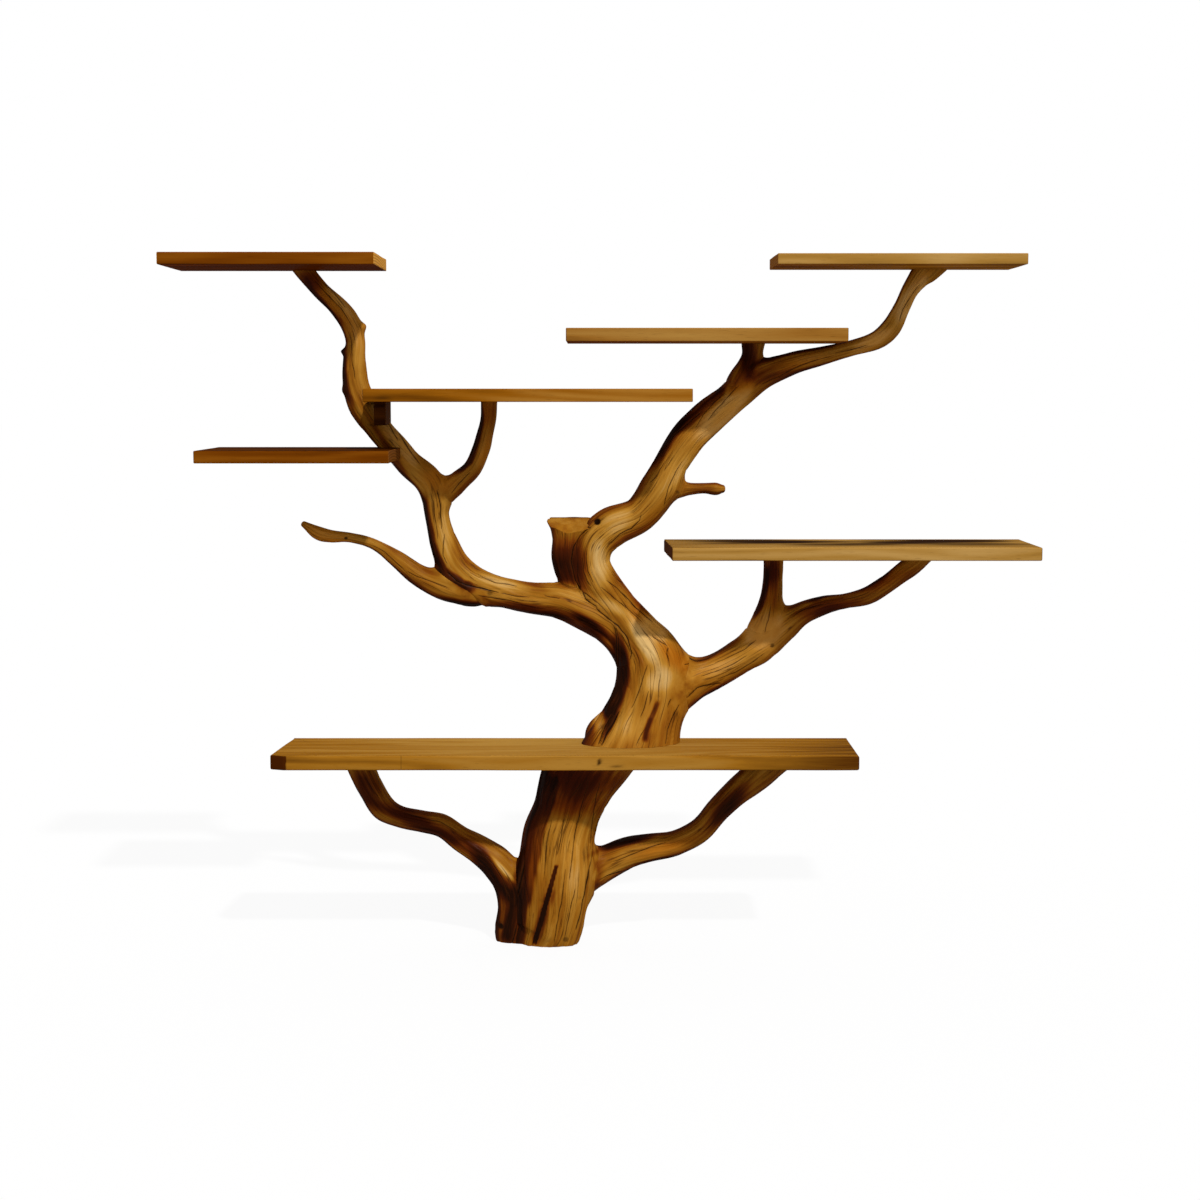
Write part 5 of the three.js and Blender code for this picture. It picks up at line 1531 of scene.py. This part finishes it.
def dowel_wood():
    """Pale turned dowel wood with fine straight fibres."""
    f = Finish("dowel_wood")
    place = f.node("ShaderNodeTexCoord", {}, {}, "Object")
    fibre = f.cloud(f.stretched(place, (90.0, 90.0, 12.0)), 6.0, 3.0)
    wood = f.ramp(fibre, (0.3, rgb(168, 127, 78)), (0.7, rgb(214, 178, 128)))
    return f.finish(wood, 0.6 + fibre * 0.15, fibre, 0.2, 0.0004)


def zinc_steel():
    """Bright zinc on steel: a faint crystal bloom and fine brushing."""
    f = Finish("zinc_steel")
    place = f.node("ShaderNodeTexCoord", {}, {}, "Object")
    bloom = f.cloud(place, 160.0, 3.0)
    brushed = f.cloud(f.stretched(place, (60.0, 900.0, 900.0)), 1.0, 2.0)
    steel = f.ramp(bloom, (0.35, rgb(160, 163, 168)), (0.7, rgb(196, 199, 203)))
    f.shader.inputs["Metallic"].default_value = 1.0
    return f.finish(steel, 0.28 + brushed * 0.2, brushed, 0.15, 0.0002)


# Making the tree

def placed(piece, node):
    """Puts a new piece in a node's place."""
    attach(piece, "root")
    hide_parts(node)


limb_finish = limb_wood()
made = {}
for name, stretches in LIMB_PIECES.items():
    made[name] = [finished_limb(**stretch) for stretch in stretches]
    piece = grid_mesh(name + "_wood", made[name][:1])
    if name in HANGERS:
        carved(piece, hanger_cutters(name))
    if len(stretches) > 1:
        parts = [piece, grid_mesh(name + "_more", made[name][1:])]
        with bpy.context.temp_override(active_object=piece, selected_editable_objects=parts):
            bpy.ops.object.join()
    piece.data.materials.append(limb_finish)
    placed(piece, name)

# Colours of the planks: deep, middle, pale and end grain
AMBER = (rgb(50, 20, 2), rgb(110, 55, 2), rgb(146, 86, 16))
STRAW = (rgb(70, 36, 8), rgb(164, 120, 52), rgb(190, 150, 86))
MIDDLE_LEFT = (rgb(60, 26, 2), rgb(142, 84, 10), rgb(170, 117, 44), rgb(150, 98, 40))
UPPER_CENTRE = (rgb(70, 32, 4), rgb(150, 100, 36), rgb(176, 132, 64), rgb(120, 70, 20))
BOTTOM = (rgb(66, 28, 3), rgb(152, 100, 24), rgb(176, 130, 56), rgb(62, 22, 3))

# Planks and the square block: node, what the piece is called, how far its edges are rounded and how
# unevenly they are worn, seed, colours and slot
# The end grain colours hold painted light: pale on the upper left plank, whose right end faces the
# light, and dark on the bottom plank, whose left end lies in shade
PLANKS = [
    ("shelf_upper_left", "plank", 0.002, 0.4, 1, (*AMBER, rgb(230, 164, 70)), "plank_amber"),
    ("shelf_middle_left", "plank", 0.002, 0.4, 2, MIDDLE_LEFT, "plank_amber"),
    ("shelf_lower_left", "plank", 0.002, 0.4, 3, (*AMBER, rgb(128, 76, 26)), "plank_amber"),
    ("shelf_upper_centre", "plank", 0.0018, 0.4, 4, UPPER_CENTRE, "plank_straw"),
    ("shelf_upper_right", "plank", 0.0018, 0.4, 5, (*STRAW, rgb(150, 96, 38)), "plank_straw"),
    ("shelf_right", "plank", 0.003, 0.6, 6, (*STRAW, rgb(84, 42, 10)), "plank_straw"),
    ("shelf_bottom", "plank", 0.0035, 0.6, 7, BOTTOM, "plank_straw"),
    ("cleat_middle_left", "block", 0.0015, 0.4, 9, (*AMBER, rgb(96, 54, 16)), "limb_wood"),
]
for name, kind, edge, wear, seed, colours, slot in PLANKS:
    low, high = (np.array(corner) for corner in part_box(name))
    corners = [(low[0], low[1]), (high[0], low[1]), (high[0], high[1]), (low[0], high[1])]
    if name == "shelf_right":
        corners[0] = (low[0] + RIGHT_SKEW, low[1])
    if name == "shelf_bottom":
        corners[3] = (low[0] + BOTTOM_SKEW, high[1])
        corners[:1] = [(low[0], low[1] + BOTTOM_CLIP[1]), (low[0] + BOTTOM_CLIP[0], low[1])]
    points = plank_grid(low, high, corners, edge, wear, seed)
    grain = points[..., [0, 1]] + points[..., [2, 2]]
    piece = grid_mesh(f"{name}_{kind}", [(points, grain, 0.0, plank_marks(name, points))])
    cutters = hanger_cutters(name)
    if name in ("shelf_middle_left", "shelf_lower_left"):
        left = made["left_limb_lower"] + made["left_limb_upper"]
        cutters.append(limb_space("left_space", left))
    if name == "shelf_middle_left":
        cutters.append(limb_space("crown_space", made["crown_limb"][:1]))
    if cutters:
        carved(piece, cutters)
    piece.data.materials.append(planed_wood(name + "_finish", *colours, seed))
    placed(piece, name)

# What stays as the frame made it, by the start of its name
KEPT = {("dowel_",): dowel_wood(), ("rod_", "hanger_", "screw_"): zinc_steel()}
for name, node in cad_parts.items():
    for starts, finish in KEPT.items():
        if name.startswith(starts):
            node.data.materials.clear()
            node.data.materials.append(finish)

# Floor, light and camera

scene = bpy.context.scene
scene.view_settings.view_transform = "Standard"

# How strongly the studio lights the tree. Its background is plain white to the camera.
AMBIENT = 0.55
world = bpy.data.worlds.new("studio")
scene.world = world
studio = Nodes(world)
world.node_tree.nodes["Background"].inputs["Color"].default_value = (1, 1, 1, 1)
strength = studio.node(
    "ShaderNodeMapRange", {}, {"Value": studio.seen(), "To Min": AMBIENT, "To Max": 1.0},
)
studio.feed(strength, "Background", "Strength")

# Half the floor's width, its level, and the share of its glow that the camera sees. The glow and
# the light on the matt floor under it add up to white, and the tree's shadow still shows.
REACH = 60.0
FLOOR_LEVEL = cad_low.z - 0.0005
GLOW = 1.12
GLOW_SHARE = 0.82
floor_mesh = bpy.data.meshes.new("floor")
floor_corners = [(-1, -1), (1, -1), (1, 1), (-1, 1)]
floor_mesh.from_pydata(
    [(x * REACH, y * REACH, FLOOR_LEVEL) for x, y in floor_corners], [], [(0, 1, 2, 3)],
)
linked("floor", floor_mesh)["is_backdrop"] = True
floor_material = bpy.data.materials.new("floor")
paper = Nodes(floor_material)
paper.tree.nodes.remove(paper.tree.nodes["Principled BSDF"])
blend = paper.node("ShaderNodeMixShader", {}, {
    0: paper.seen() * GLOW_SHARE,
    1: paper.node("ShaderNodeBsdfDiffuse", {}, {"Color": (0.42, 0.415, 0.41, 1)}),
    2: paper.node("ShaderNodeEmission", {}, {"Color": (1, 1, 1, 1), "Strength": GLOW}),
})
paper.feed(blend, "Material Output", "Surface")
floor_mesh.materials.append(floor_material)

key = bpy.data.lights.new("key", "SUN")
key.energy = 2.45
key.angle = math.radians(2.2)
linked("key", key).rotation_euler = (math.radians(45.5), 0, math.radians(25))

# The camera looks down by its tilt, to a thousandth of a degree
camera = bpy.data.cameras.new("camera")
camera.lens = LENS
camera.sensor_width = SENSOR
camera.clip_end = 200
scene.camera = linked("camera", camera)
scene.camera.location = CAMERA_PLACE
turn = round(90 - math.degrees(TILT), 3)
scene.camera.rotation_euler = (math.radians(turn), 0, 0)

low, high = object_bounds()
